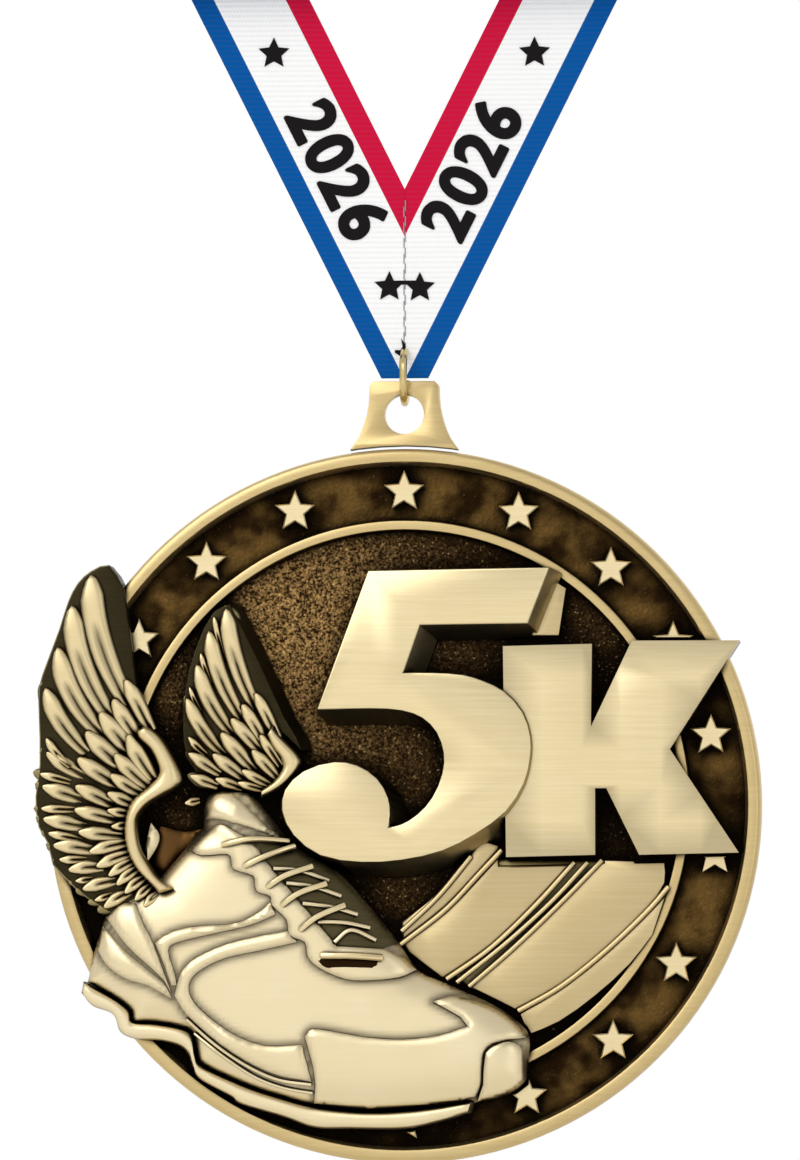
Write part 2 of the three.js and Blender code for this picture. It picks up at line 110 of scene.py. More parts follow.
def make_studio():
    bpy.context.scene.view_settings.view_transform = "Standard"
    area_light("key", (-260, 330, -420), (0, 0, 0), (480, 480), 1.5)
    area_light("front", (40, 10, -760), (0, 0, 0), (560, 560), 0.5)
    area_light("fill", (380, 60, -380), (0, 10, 0), (200, 420), 0.26)
    area_light("under", (40, -330, -300), (0, 0, 0), (420, 120), 0.16)
    world = bpy.data.worlds.new("studio")
    bpy.context.scene.world = world
    world.use_nodes = True
    tree = world.node_tree
    tree.nodes.clear()
    coords = node(tree, "TexCoord")
    split = node(tree, "SeparateXYZ", {0: coords.outputs["Generated"]})
    # Darker behind the camera, so that the metal has something to reflect, and white behind the medal.
    level = node(tree, "MapRange", {"Value": split.outputs["Y"], "From Min": -1.0, "From Max": 0.6,
                                    "To Min": 0.40, "To Max": 1.0})
    sky = node(tree, "Background", {"Color": level.outputs[0], "Strength": 1.0})
    node(tree, "OutputWorld", {"Surface": sky.outputs[0]})
    mesh = bpy.data.meshes.new("floor")
    bm = bmesh.new()
    bmesh.ops.create_grid(bm, x_segments=1, y_segments=1, size=FLOOR_SIZE,
                          matrix=Matrix.Translation((0, 0, CENTRE_Z - FLOOR_DROP)))
    bm.to_mesh(mesh)
    floor = bpy.data.objects.new("floor", mesh)
    bpy.context.scene.collection.objects.link(floor)
    floor.data.materials.append(plain_material("pale_floor", "#F4F3F0", 0.8))


# ---- node and colour helpers --------------------------------------------------------------------
def linear(text):
    """An sRGB hex colour as linear red, green, blue and alpha."""
    parts = [int(text[i:i + 2], 16) / 255 for i in (1, 3, 5)]
    return [p / 12.92 if p <= 0.04045 else ((p + 0.055) / 1.055) ** 2.4 for p in parts] + [1.0]


def node(tree, kind, inputs=None, **settings):
    """Adds a shader node; an input that is a socket is linked, and any other is its value."""
    made = tree.nodes.new("ShaderNode" + kind)
    for key, value in settings.items():
        setattr(made, key, value)
    for key, value in (inputs or {}).items():
        if isinstance(value, bpy.types.NodeSocket):
            tree.links.new(value, made.inputs[key])
        else:
            made.inputs[key].default_value = value
    return made


def new_material(name):
    material = bpy.data.materials.new(name)
    material.use_nodes = True
    material.node_tree.nodes.clear()
    return material, material.node_tree


def finish_material(tree, inputs):
    shader = node(tree, "BsdfPrincipled", inputs)
    node(tree, "OutputMaterial", {"Surface": shader.outputs[0]})


def plain_material(name, colour, roughness, gloss=0.5):
    material, tree = new_material(name)
    finish_material(tree, {"Base Color": linear(colour), "Roughness": roughness, "Specular IOR Level": gloss})
    return material


def mix(tree, factor, low, high):
    made = node(tree, "Mix", {"Factor": factor}, data_type="RGBA")
    for socket, value in ((made.inputs[6], low), (made.inputs[7], high)):
        if isinstance(value, bpy.types.NodeSocket):
            tree.links.new(value, socket)
        else:
            socket.default_value = value
    return made.outputs[2]


def ramp(tree, value, from_low, from_high, to_low=0.0, to_high=1.0):
    made = node(tree, "MapRange", {"Value": value, "From Min": from_low, "From Max": from_high,
                                   "To Min": to_low, "To Max": to_high},
                interpolation_type="SMOOTHSTEP")
    return made.outputs[0]


def calc(tree, operation, one, other=0.0):
    return node(tree, "Math", {0: one, 1: other}, operation=operation).outputs[0]


def times(tree, one, other):
    return calc(tree, "MULTIPLY", one, other)


def noise(tree, coords, scale, detail=2.0, roughness=0.5, distortion=0.0):
    return node(tree, "TexNoise", {"Vector": coords, "Scale": scale, "Detail": detail,
                                   "Roughness": roughness, "Distortion": distortion}).outputs["Fac"]


def openness(tree, reach):
    """1 out in the open and 0 deep in a corner, looking reach mm round."""
    return node(tree, "AmbientOcclusion", {"Distance": reach * MM}, samples=8).outputs["AO"]


# ---- finishes -----------------------------------------------------------------------------------
def brushed_antique_gold(name, light, deep, dark, rough, reach, angle=0.0, brush=1.0):
    """Gold plate, blackened and brushed back: pale tops with fine brush lines, brown-black corners.

    reach is how far, in mm, the black creeps out of a corner. The brush lines of the real one are about
    0.1 mm apart and are drawn twice as coarse, so that they show.
    """
    material, tree = new_material(name)
    coords = node(tree, "TexCoord").outputs["Object"]
    turned = node(tree, "Mapping", {"Vector": coords, "Rotation": (0, angle, 0),
                                    "Scale": (1 / (9 * MM), 1 / MM, 1 / (0.22 * MM))})
    lines = noise(tree, turned.outputs[0], 1.0, 3.0, 0.6, 0.15)
    cloudy = noise(tree, coords, 1 / (6 * MM))
    polish_and_painted_light = node(tree, "Attribute", attribute_name="polish_and_painted_light").outputs["Fac"]
    # Dark in corners and where the polish attribute is low: patina, with painted shade and highlight on some
    # pieces.
    clean_and_painted_light = times(tree, ramp(tree, openness(tree, reach), 0.42, 0.88), polish_and_painted_light)
    brushed = ramp(tree, lines, 0.3, 0.7, 0.5 - brush / 2, 0.5 + brush / 2)
    gold = mix(tree, brushed, linear(deep), linear(light))
    gold = mix(tree, ramp(tree, cloudy, 0.35, 0.75, 0.0, 0.35), gold, linear(deep))
    colour = mix(tree, clean_and_painted_light, linear(dark), gold)
    rough_lines = ramp(tree, lines, 0.2, 0.8, rough - 0.04 * brush, rough + 0.08 * brush)
    bump = node(tree, "Bump", {"Height": lines, "Strength": 0.30 * brush, "Distance": 0.02 * MM})
    finish_material(tree, {"Base Color": colour, "Metallic": 1.0, "Roughness": rough_lines,
                           "Normal": bump.outputs[0]})
    return material


def pebbled_patina(name):
    """The sunk field: cast pebble grain, 0.35 mm across, black-brown with bare gold on the grain's tips, and
    a painted pool of light.
    """
    material, tree = new_material(name)
    coords = node(tree, "TexCoord").outputs["Object"]
    centred = node(tree, "Mapping", {"Vector": coords, "Location": (0, 0, -CENTRE_Z)}).outputs[0]
    grain = node(tree, "TexVoronoi", {"Vector": coords, "Scale": 1 / (0.40 * MM)},
                 feature="SMOOTH_F1").outputs["Distance"]
    fine = noise(tree, coords, 1 / (0.24 * MM), roughness=0.65)
    # Painted light: the grain's tips are brightest in a pool round a spot up and left of the centre, fading
    # over 19 mm.
    painted_light_spot = node(tree, "VectorMath", {0: centred, 1: (-11 * MM, 0, 17 * MM)}, operation="DISTANCE")
    painted_light_pool = ramp(tree, painted_light_spot.outputs["Value"], 2 * MM, 19 * MM, 1.0, 0.12)
    off_axis = node(tree, "VectorMath", {0: centred}, operation="LENGTH").outputs["Value"]
    band = ramp(tree, off_axis, 27.4 * MM, 27.8 * MM)
    cloudy = noise(tree, coords, 1 / (4 * MM))
    corner = openness(tree, 3.2)
    open_field = ramp(tree, corner, 0.5, 0.97)
    tips = ramp(tree, fine, 0.36, 0.70)
    pebbles = mix(tree, times(tree, tips, painted_light_pool), linear("#1E1208"), linear("#AA8652"))
    glow = mix(tree, ramp(tree, cloudy, 0.38, 0.66), linear("#241709"), linear("#6B5129"))
    ground = mix(tree, band, pebbles, mix(tree, times(tree, tips, 0.25), glow, linear("#0F0803")))
    ground = mix(tree, open_field, linear("#0B0704"), ground)
    flecks = ramp(tree, fine, 0.66, 0.74)
    lit = times(tree, flecks, ramp(tree, corner, 0.3, 0.9))
    lit = times(tree, lit, ramp(tree, band, 0.0, 1.0, 0.55, 0.1))
    colour = mix(tree, lit, ground, linear("#E2C083"))
    bump = node(tree, "Bump", {"Height": grain, "Strength": 0.8, "Distance": 0.10 * MM})
    rougher = node(tree, "Bump", {"Height": fine, "Strength": 0.9, "Distance": 0.09 * MM,
                                  "Normal": bump.outputs[0]})
    finish_material(tree, {"Base Color": colour, "Metallic": 1.0, "Roughness": 0.38,
                           "Normal": rougher.outputs[0]})
    return material


def woven_grosgrain(name):
    """Polyester grosgrain: weft ribs 0.5 mm apart across the strap, with blue and red edge stripes."""
    material, tree = new_material(name)
    strip = node(tree, "UVMap", uv_map="strip").outputs[0]  # across 0 to 1, then mm along
    split = node(tree, "SeparateXYZ", {0: strip})
    across, along = split.outputs["X"], split.outputs["Y"]
    ribs = calc(tree, "SINE", times(tree, along, 2 * math.pi / 0.5))
    threads = calc(tree, "SINE", times(tree, across, 2 * math.pi * 34))
    weave = calc(tree, "ADD", times(tree, threads, 0.35), ribs)
    blue = ramp(tree, across, 0.188, 0.194, 1.0, 0.0)
    red = ramp(tree, across, 0.796, 0.802)
    colour = mix(tree, blue, linear("#F4F4F4"), linear("#00529C"))
    colour = mix(tree, red, colour, linear("#C80F3C"))
    # Painted shade: up to a tenth greyer in the hollows of the weave.
    colour = mix(tree, ramp(tree, weave, -1.3, 0.2, 0.10, 0.0), colour, linear("#50545C"))
    bump = node(tree, "Bump", {"Height": weave, "Strength": 0.25, "Distance": 0.05 * MM})
    finish_material(tree, {"Base Color": colour, "Roughness": 0.85, "Specular IOR Level": 0.08,
                           "Normal": bump.outputs[0]})
    return material


GOLD = brushed_antique_gold("brushed_antique_gold", "#F2E2B8", "#E4CF9E", "#1C1207", 0.30, 1.0, brush=0.5)
SATIN_GOLD = brushed_antique_gold("satin_feather_gold", "#EEDDB2", "#DCC592", "#150D05", 0.34, 0.9,
                                  brush=0.12)
SHOE_GOLD = brushed_antique_gold("satin_shoe_gold", "#F6E8C6", "#E8D5A8", "#1E1207", 0.36, 0.9, brush=0.15)
TRAIL_GOLD = brushed_antique_gold("sand_blasted_gold", "#D9C79C", "#C4AE7E", "#1D1309", 0.40, 1.5,
                                  math.radians(42), brush=0.3)
# A darker gold for the rim, the inner ring and the hanging tab.
RIM_GOLD = brushed_antique_gold("darker_rim_gold", "#DCC591", "#C9B07A", "#1C1207", 0.34, 1.0, brush=0.4)
OLIVE_GOLD = brushed_antique_gold("blackened_edge_gold", "#A89B70", "#7F724C", "#100A04", 0.42, 0.6,
                                  brush=0.4)
WIRE_GOLD = brushed_antique_gold("plated_wire", "#E3CF98", "#CDB67C", "#6A5530", 0.22, 0.3, brush=0.2)
PATINA = pebbled_patina("pebbled_patina")
LINING_BROWN = brushed_antique_gold("brown_patina_lining", "#7E5C33", "#573C20", "#160D05", 0.42, 1.2,
                                    brush=0.0)
GROSGRAIN = woven_grosgrain("woven_grosgrain")
INK = plain_material("black_print_ink", "#1B181A", 0.9, 0.05)
THREAD = plain_material("grey_sewing_thread", "#9EA0A4", 0.8, 0.1)
PAPER = plain_material("matt_paper_band", "#ECE7DA", 0.85)


# ---- mesh helpers -------------------------------------------------------------------------------
SOFT_ANGLE = math.radians(35)


def verts_in(geom):
    return [g for g in geom if isinstance(g, bmesh.types.BMVert)]


def thicken(made, name, thickness):
    thick = made.modifiers.new(name, "SOLIDIFY")
    thick.thickness, thick.offset = thickness * MM, 0.0


def bmesh_of(data):
    """The surface of a curve or a text, whose data stays behind unused."""
    source = bpy.data.objects.new(data.name + "_source", data)
    bpy.context.scene.collection.objects.link(source)
    bpy.context.view_layer.update()
    mesh = bpy.data.meshes.new_from_object(source.evaluated_get(bpy.context.evaluated_depsgraph_get()))
    bpy.data.objects.remove(source)
    bm = bmesh.new()
    bm.from_mesh(mesh)
    return bm


def piece_from(bm, name, material, body="medal", slot="gold", replaces=(), recalc=True, dark_walls=True,
               polish_and_painted_light_of=None):
    """Turns a bmesh into a piece that rides on a body.

    Its polish attribute is 1 where the black is brushed away and 0 where it stays, and also carries painted
    shade and painted highlight where a piece paints them. It is the bmesh's own vertex layer, or comes from
    each face by polish_and_painted_light_of, or from how far the face looks forward.
    """
    if recalc:
        bmesh.ops.recalc_face_normals(bm, faces=bm.faces)
    own_polish = "polish_and_painted_light" in bm.verts.layers.float
    for edge in bm.edges:
        edge.smooth = len(edge.link_faces) == 2 and edge.calc_face_angle(0) < SOFT_ANGLE
    for face in bm.faces:
        face.smooth = True
    mesh = bpy.data.meshes.new(name)
    bm.to_mesh(mesh)
    bm.free()
    if not own_polish:
        polish_and_painted_light = mesh.attributes.new("polish_and_painted_light", "FLOAT", "CORNER")
        for face in mesh.polygons:
            facing = abs(face.normal.y) if dark_walls else 1.0
            value = polish_and_painted_light_of(face.normal) if polish_and_painted_light_of else min(max((facing - 0.25) / 0.5, 0.0), 1.0)
            for corner in face.loop_indices:
                polish_and_painted_light.data[corner].value = value
    made = bpy.data.objects.new(name, mesh)
    bpy.context.scene.collection.objects.link(made)
    mesh.materials.append(material)
    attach(made, body)
    if replaces:
        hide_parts(*replaces)
    return made


def cad_solid(name):
    """A CAD node's mesh with its flat faces whole again."""
    bm = bmesh.new()
    bm.from_mesh(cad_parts[name].data)
    bmesh.ops.remove_doubles(bm, verts=bm.verts, dist=2e-6)
    bmesh.ops.dissolve_limit(bm, angle_limit=math.radians(0.5), verts=bm.verts, edges=bm.edges)
    return bm


def is_top(face, level):
    return face.normal.y < -0.99 and abs(face.calc_center_median().y / MM - level) < 0.05


def cut_from_cad(name, edge=0.15, lean=(0.0, 0.0), material=GOLD, slot="gold", segments=2, both=False,
                 polish_and_painted_light_of=None):
    """A CAD node with its front edge rounded; lean moves its foot sideways, as a sloping mould wall does."""
    bm = cad_solid(name)
    bm.normal_update()
    level = min(v.co.y for v in bm.verts) / MM
    foot = max(v.co.y for v in bm.verts) / MM
    ends = [f for f in bm.faces if is_top(f, level) or both and f.normal.y > 0.99]
    rims = [e for f in ends for e in f.edges if sum(g in ends for g in e.link_faces) == 1]
    for vert in bm.verts:
        share = (vert.co.y / MM - level) / (foot - level)
        vert.co.x += lean[0] * share * MM
        vert.co.z += lean[1] * share * MM
    bmesh.ops.bevel(bm, geom=list(set(rims)), offset=edge * MM, offset_type="OFFSET", segments=segments,
                    profile=0.5, affect="EDGES", clamp_overlap=True, material=-1)
    return piece_from(bm, "shown_" + name, material, slot=slot, replaces=(name,), recalc=False,
                      polish_and_painted_light_of=polish_and_painted_light_of)


def turned(name, profile, material, slot, replaces, steps=144, dark_walls=True):
    """A closed [radius, depth] profile spun round the disc's axis."""
    bm = bmesh.new()
    axis = place(0, 0, 0)
    verts = [bm.verts.new(place(r, 0, y)) for r, y in profile]
    closed = profile[0][0] > 0
    edges = [bm.edges.new((verts[i - 1], verts[i])) for i in range(0 if closed else 1, len(verts))]
    bmesh.ops.spin(bm, geom=verts + edges, cent=axis, axis=(0, 1, 0), angle=math.tau, steps=steps,
                   use_merge=True)
    bmesh.ops.remove_doubles(bm, verts=bm.verts, dist=1e-6)
    return piece_from(bm, name, material, slot=slot, replaces=replaces, dark_walls=dark_walls)


def smooth_line(points, steps=4):
    """A Catmull-Rom line through [x, z] points."""
    if len(points) < 3:
        return [Vector(p) for p in points]
    ends = [2 * Vector(points[0]) - Vector(points[1])] + [Vector(p) for p in points]
    ends.append(2 * Vector(points[-1]) - Vector(points[-2]))
    line = []
    for a, b, c, d in zip(ends, ends[1:], ends[2:], ends[3:]):
        for i in range(steps):
            t = i / steps
            line.append(0.5 * (2 * b + (c - a) * t + (2 * a - 5 * b + 4 * c - d) * t * t
                               + (3 * b - a - 3 * c + d) * t ** 3))
    return line + [Vector(points[-1])]


def outline(*runs):
    whole = [p for run in runs for p in smooth_line(run, 3)]
    return [p for p, q in zip(whole, whole[1:] + whole[:1]) if (p - q).length > 0.03]


def edge_distance(x, z, line):
    """How far, in mm, a point is from a closed outline."""
    best = 1e9
    for a, b in zip(line, line[1:] + line[:1]):
        ab = b - a
        t = max(0.0, min(1.0, ((x - a.x) * ab.x + (z - a.y) * ab.y) / max(ab.length_squared, 1e-9)))
        best = min(best, math.hypot(x - a.x - ab.x * t, z - a.y - ab.y * t))
    return best


def crowned_panel(name, line, height, foot, cell, material, slot="gold", replaces=(), edge=0.22, drop=0.18,
                  shade=lambda x, z: 1.0):
    """A panel with the given outline, its face following height(x, z) and its edge turned down to foot."""
    bm = bmesh.new()
    polish_and_painted_light = bm.verts.layers.float.new("polish_and_painted_light")
    face = bm.faces.new([bm.verts.new(place(p.x, p.y, 0)) for p in line])
    for share in (0.3, 0.7, 1.0):
        bmesh.ops.inset_region(bm, faces=[face], thickness=edge * share * MM, use_even_offset=True)
    low = Vector((min(p.x for p in line), min(p.y for p in line)))
    high = Vector((max(p.x for p in line), max(p.y for p in line)))
    for across, start, stop in (((1, 0, 0), low.x, high.x), ((0, 0, 1), low.y, high.y)):
        count = int((stop - start) / cell)
        for i in range(1, count + 1):
            at = start + i * (stop - start) / (count + 1)
            bmesh.ops.bisect_plane(bm, geom=bm.verts[:] + bm.edges[:] + bm.faces[:], dist=1e-7,
                                   plane_co=place(at, at, 0), plane_no=across)
    bmesh.ops.triangulate(bm, faces=[f for f in bm.faces if len(f.verts) > 4])
    border = [e for e in bm.edges if e.is_boundary]
    for vert in bm.verts:
        x, z = vert.co.x / MM, (vert.co.z - CENTRE_Z) / MM
        turn = max(0.0, 1 - edge_distance(x, z, line) / (2 * edge)) ** 2
        vert.co.y = (height(x, z) + drop * turn) * MM
        vert[polish_and_painted_light] = shade(x, z) * (1 - 0.35 * turn)
    drop_walls(bm, border, foot)
    return piece_from(bm, name, material, slot=slot, replaces=replaces)


def drop_walls(bm, border, foot):
    """Walls from the border edges back to the foot, blackened towards it, and a plain gold back."""
    polish_and_painted_light = bm.verts.layers.float["polish_and_painted_light"]
    wall = bmesh.ops.extrude_edge_only(bm, edges=border)["geom"]
    for vert in verts_in(wall):
        vert.co.y = max(foot * MM, vert.co.y + 0.05 * MM)
        vert[polish_and_painted_light] = 0.0
    caps = bmesh.ops.edgeloop_fill(bm, edges=[e for e in bm.edges if e.is_boundary])["faces"]
    rims = {v for f in caps for v in f.verts}
    bmesh.ops.inset_region(bm, faces=caps, thickness=0.06 * MM)
    for vert in {v for f in caps for v in f.verts} - rims:
        vert[polish_and_painted_light] = 1.0
    bmesh.ops.triangulate(bm, faces=caps)


def along_line(points, count):
    """Evenly spaced points on a smooth line, ends included."""
    line = smooth_line(points, 6)
    lengths = [0.0]
    for a, b in zip(line, line[1:]):
        lengths.append(lengths[-1] + (b - a).length)
    spots, at = [], 0
    for i in range(count + 1):
        want = lengths[-1] * i / count
        while at < len(line) - 2 and lengths[at + 1] < want:
            at += 1
        span = max(lengths[at + 1] - lengths[at], 1e-9)
        spots.append(line[at].lerp(line[at + 1], min(1.0, (want - lengths[at]) / span)))
    return spots


def rounded_band(name, one, other, height, foot, material, slot="gold", replaces=(), steps=70, rise=0.6,
                 square=3.0, edge_polish=0.35):
    """A raised bar between two edge lines. Its face is height(x, z), falling by rise at its two edges."""
    bm = bmesh.new()
    polish_and_painted_light = bm.verts.layers.float.new("polish_and_painted_light")
    first, second = along_line(one, steps), along_line(other, steps)
    for vert in bmesh.ops.create_grid(bm, x_segments=steps, y_segments=8, size=0.5)["verts"]:
        at = (vert.co.x + 0.5) * steps
        low = min(int(at), steps - 1)
        share = vert.co.y + 0.5
        p = first[low].lerp(first[low + 1], at - low).lerp(second[low].lerp(second[low + 1], at - low), share)
        side = abs(2 * share - 1)
        end = max(0.0, 1 - min(at, steps - at) / 1.5)
        down = max(side ** square, end * end)
        vert.co = place(p.x, p.y, height(p.x, p.y) + rise * down)
        vert[polish_and_painted_light] = 1 - (1 - edge_polish) * down ** 2
    drop_walls(bm, [e for e in bm.edges if e.is_boundary], foot)
    return piece_from(bm, name, material, slot=slot, replaces=replaces)


def tube(name, points, radius, material, slot="gold", body="medal", replaces=(), dark_walls=True):
    """A round bar along [x, y, z] points in mm."""
    data = bpy.data.curves.new(name, "CURVE")
    data.dimensions, data.bevel_depth, data.bevel_resolution = "3D", radius * MM, 3
    data.use_fill_caps = True
    spline = data.splines.new("NURBS")
    spline.points.add(len(points) - 1)
    for point, (x, y, z) in zip(spline.points, points):
        point.co = (*place(x, z, y), 1.0)
    spline.order_u, spline.use_endpoint_u, spline.resolution_u = 3, True, 4
    bm = bmesh_of(data)
    bmesh.ops.remove_doubles(bm, verts=bm.verts, dist=1e-7)
    return piece_from(bm, name, material, body=body, slot=slot, replaces=replaces, dark_walls=dark_walls)


# ---- disc: field, rim, ring, tab and stars ------------------------------------------------------
def make_disc():
    inner = DISC_R - RIM_WIDTH
    field_r, field_back = inner - 0.02, BACK - 0.3
    field = turned("shown_field", [[0, FIELD], [field_r, FIELD], [field_r, field_back], [0, field_back]],
                   PATINA, "patina", ("base_plate",))
    field.data.materials.append(TRAIL_GOLD)
    for face in field.data.polygons:
        if face.normal.y > 0.5:
            face.material_index = 1
    rim = [
        [inner - 0.25, FIELD - 0.05], [inner - 0.05, RIM_TOP + 0.3], [inner + 0.12, RIM_TOP + 0.05],
        [inner + 0.3, RIM_TOP], [DISC_R - 0.55, RIM_TOP], [DISC_R - 0.3, RIM_TOP + 0.08],
        [DISC_R - 0.12, RIM_TOP + 0.3], [DISC_R - 0.03, RIM_TOP + 0.7], [DISC_R, 0.1],
        [DISC_R - 0.02, BACK - 0.5], [DISC_R - 0.15, BACK - 0.12], [DISC_R - 0.4, BACK],
        [inner + 0.1, BACK], [inner - 0.15, BACK - 0.3],
    ]
    turned("shown_rim", rim, RIM_GOLD, "gold", ("outer_rim",), dark_walls=False)
    low, high = INNER_RING
    ring = [
        [low - 0.15, FIELD], [low, RING_TOP + 0.2], [low + 0.1, RING_TOP + 0.04], [low + 0.25, RING_TOP],
        [high - 0.25, RING_TOP], [high - 0.1, RING_TOP + 0.04], [high, RING_TOP + 0.2], [high + 0.15, FIELD],
    ]
    turned("shown_inner_ring", ring, RIM_GOLD, "gold", ("inner_ring",))
    cut_from_cad("hanging_tab", 0.22, both=True, material=RIM_GOLD, polish_and_painted_light_of=lambda normal: 1.0)
    for i in range(STAR_COUNT):
        cut_from_cad(f"star_{i + 1:02d}", 0.12, segments=1)


# ---- numeral, letter and sweeping bands ---------------------------------------------------------
LETTER_K = outline(
    [[9.8, 15.5], [18.5, 15.7]],
    [[18.4, 7.6], [22.4, 16]],
    [[32.9, 16], [26.1, 5.4]],
    [[32.8, -4.7], [23.1, -4.9]],
    [[19.9, 1.6], [18.8, 1.6]], [[18.8, -4.9], [10.1, -5.1]],
)


def make_figures():
    cut_from_cad("numeral_five", 0.2, lean=(1.3, -1.1))
    # The letter runs on under the numeral, as they are one casting.
    crowned_panel("shown_letter_k", LETTER_K, lambda x, z: K_TOP, HIDDEN_FOOT, 4.0, GOLD,
                  replaces=("letter_k",), edge=0.12, drop=0.2)


BED_EDGES = (
    [[6.4, -5.2], [3.2, -9.2], [-0.3, -12.6]],
    [[20.4, -5.6], [16, -10.2], [11.4, -14.4], [6.8, -18]],
)
RIDGES = [  # the raised lines along the sweeping bands, as [x, z] points
    [[6.6, -5], [3.4, -8.9], [-0.2, -12.3]],
    [[9.6, -4.4], [7.4, -6.7], [4.1, -10.2], [-0.3, -13.6]],
    [[16.7, -5.6], [13.1, -9.6], [8.6, -13.9], [4.2, -17]],
    [[18, -5.6], [14.5, -9.4], [10.1, -13.4], [5.2, -17.3]],
    [[19.4, -5.4], [15.4, -9.5], [10.9, -13.8], [6.4, -17.7]],
    [[25.9, -8], [23.8, -10.4], [19.8, -14.2], [15.4, -17.7], [11.2, -20.1]],
]


def make_trails():
    for name in ("trail_inner", "trail_middle", "trail_outer", "trail_lower", "trail_top"):
        cut_from_cad(name, 0.35, material=TRAIL_GOLD, slot="satin_gold")
    rounded_band("trail_bed", *BED_EDGES, lambda x, z: TRAIL_TOP + 0.35, FIELD, OLIVE_GOLD, slot="satin_gold",
                 steps=30, rise=0.3, edge_polish=0.2)
    for i, line in enumerate(RIDGES):
        points = [[p.x, TRAIL_TOP - 0.05, p.y] for p in smooth_line(line, 4)]
        tube(f"trail_ridge_{i + 1}", points, 0.26, TRAIL_GOLD, slot="satin_gold")


# ---- running shoe -------------------------------------------------------------------------------
SHOE_LINE = outline(
    [[-23.8, -7], [-21.7, -4.6], [-20.5, -3.1], [-19.6, -2.3]],
    [[-19.6, -1.2], [-19.5, 0.2], [-18.9, 1.1], [-17.8, 1.6]],
    [[-15.2, 1.5], [-11.3, -3.4]],
    [[-11.3, -3.4], [-6.4, -6.5], [-1.7, -11.9], [-0.1, -14], [1.5, -16.2], [3.9, -17.3], [5.9, -18.2],
     [8.8, -19.5], [11.1, -21.1], [12.3, -22.6], [12.1, -25.6], [11.8, -27.1], [9.7, -28.4],
     [6.2, -29.2]],
    [[1.9, -29.6], [-3.4, -29.9], [-8.7, -29.4], [-12.2, -28.5], [-15.5, -27.4], [-19.7, -25.5],
     [-20.4, -24.3], [-20.7, -22.5], [-21.7, -21.8], [-24.4, -21.3], [-26.6, -21.2], [-26.8, -20.1],
     [-28.5, -18.8], [-31, -17.3]],
    [[-30.3, -14.1], [-29.3, -11], [-28.5, -9.4], [-26, -7.6]],
)
SHOE_EDGE_Y = UPPER_TOP + 1.2
SHOE_RISE = 1.75
SHOE_ROUNDING = 1.7
PANEL_FOOT = SHOE_EDGE_Y + 0.6
PANEL_CELL = 0.42


def shoe_height(lift=0.0):
    """The crowned side of the shoe, lift mm further out."""
    def height(x, z):
        near = edge_distance(x, z, SHOE_LINE)
        return SHOE_EDGE_Y - SHOE_RISE * (1 - math.exp(-near / SHOE_ROUNDING)) - lift
    return height


def over_shoe(line, lift):
    """Points along a line that lies lift mm proud of the shoe's side."""
    height = shoe_height(lift)
    return [[p.x, height(p.x, p.y), p.y] for p in smooth_line(line, 4)]


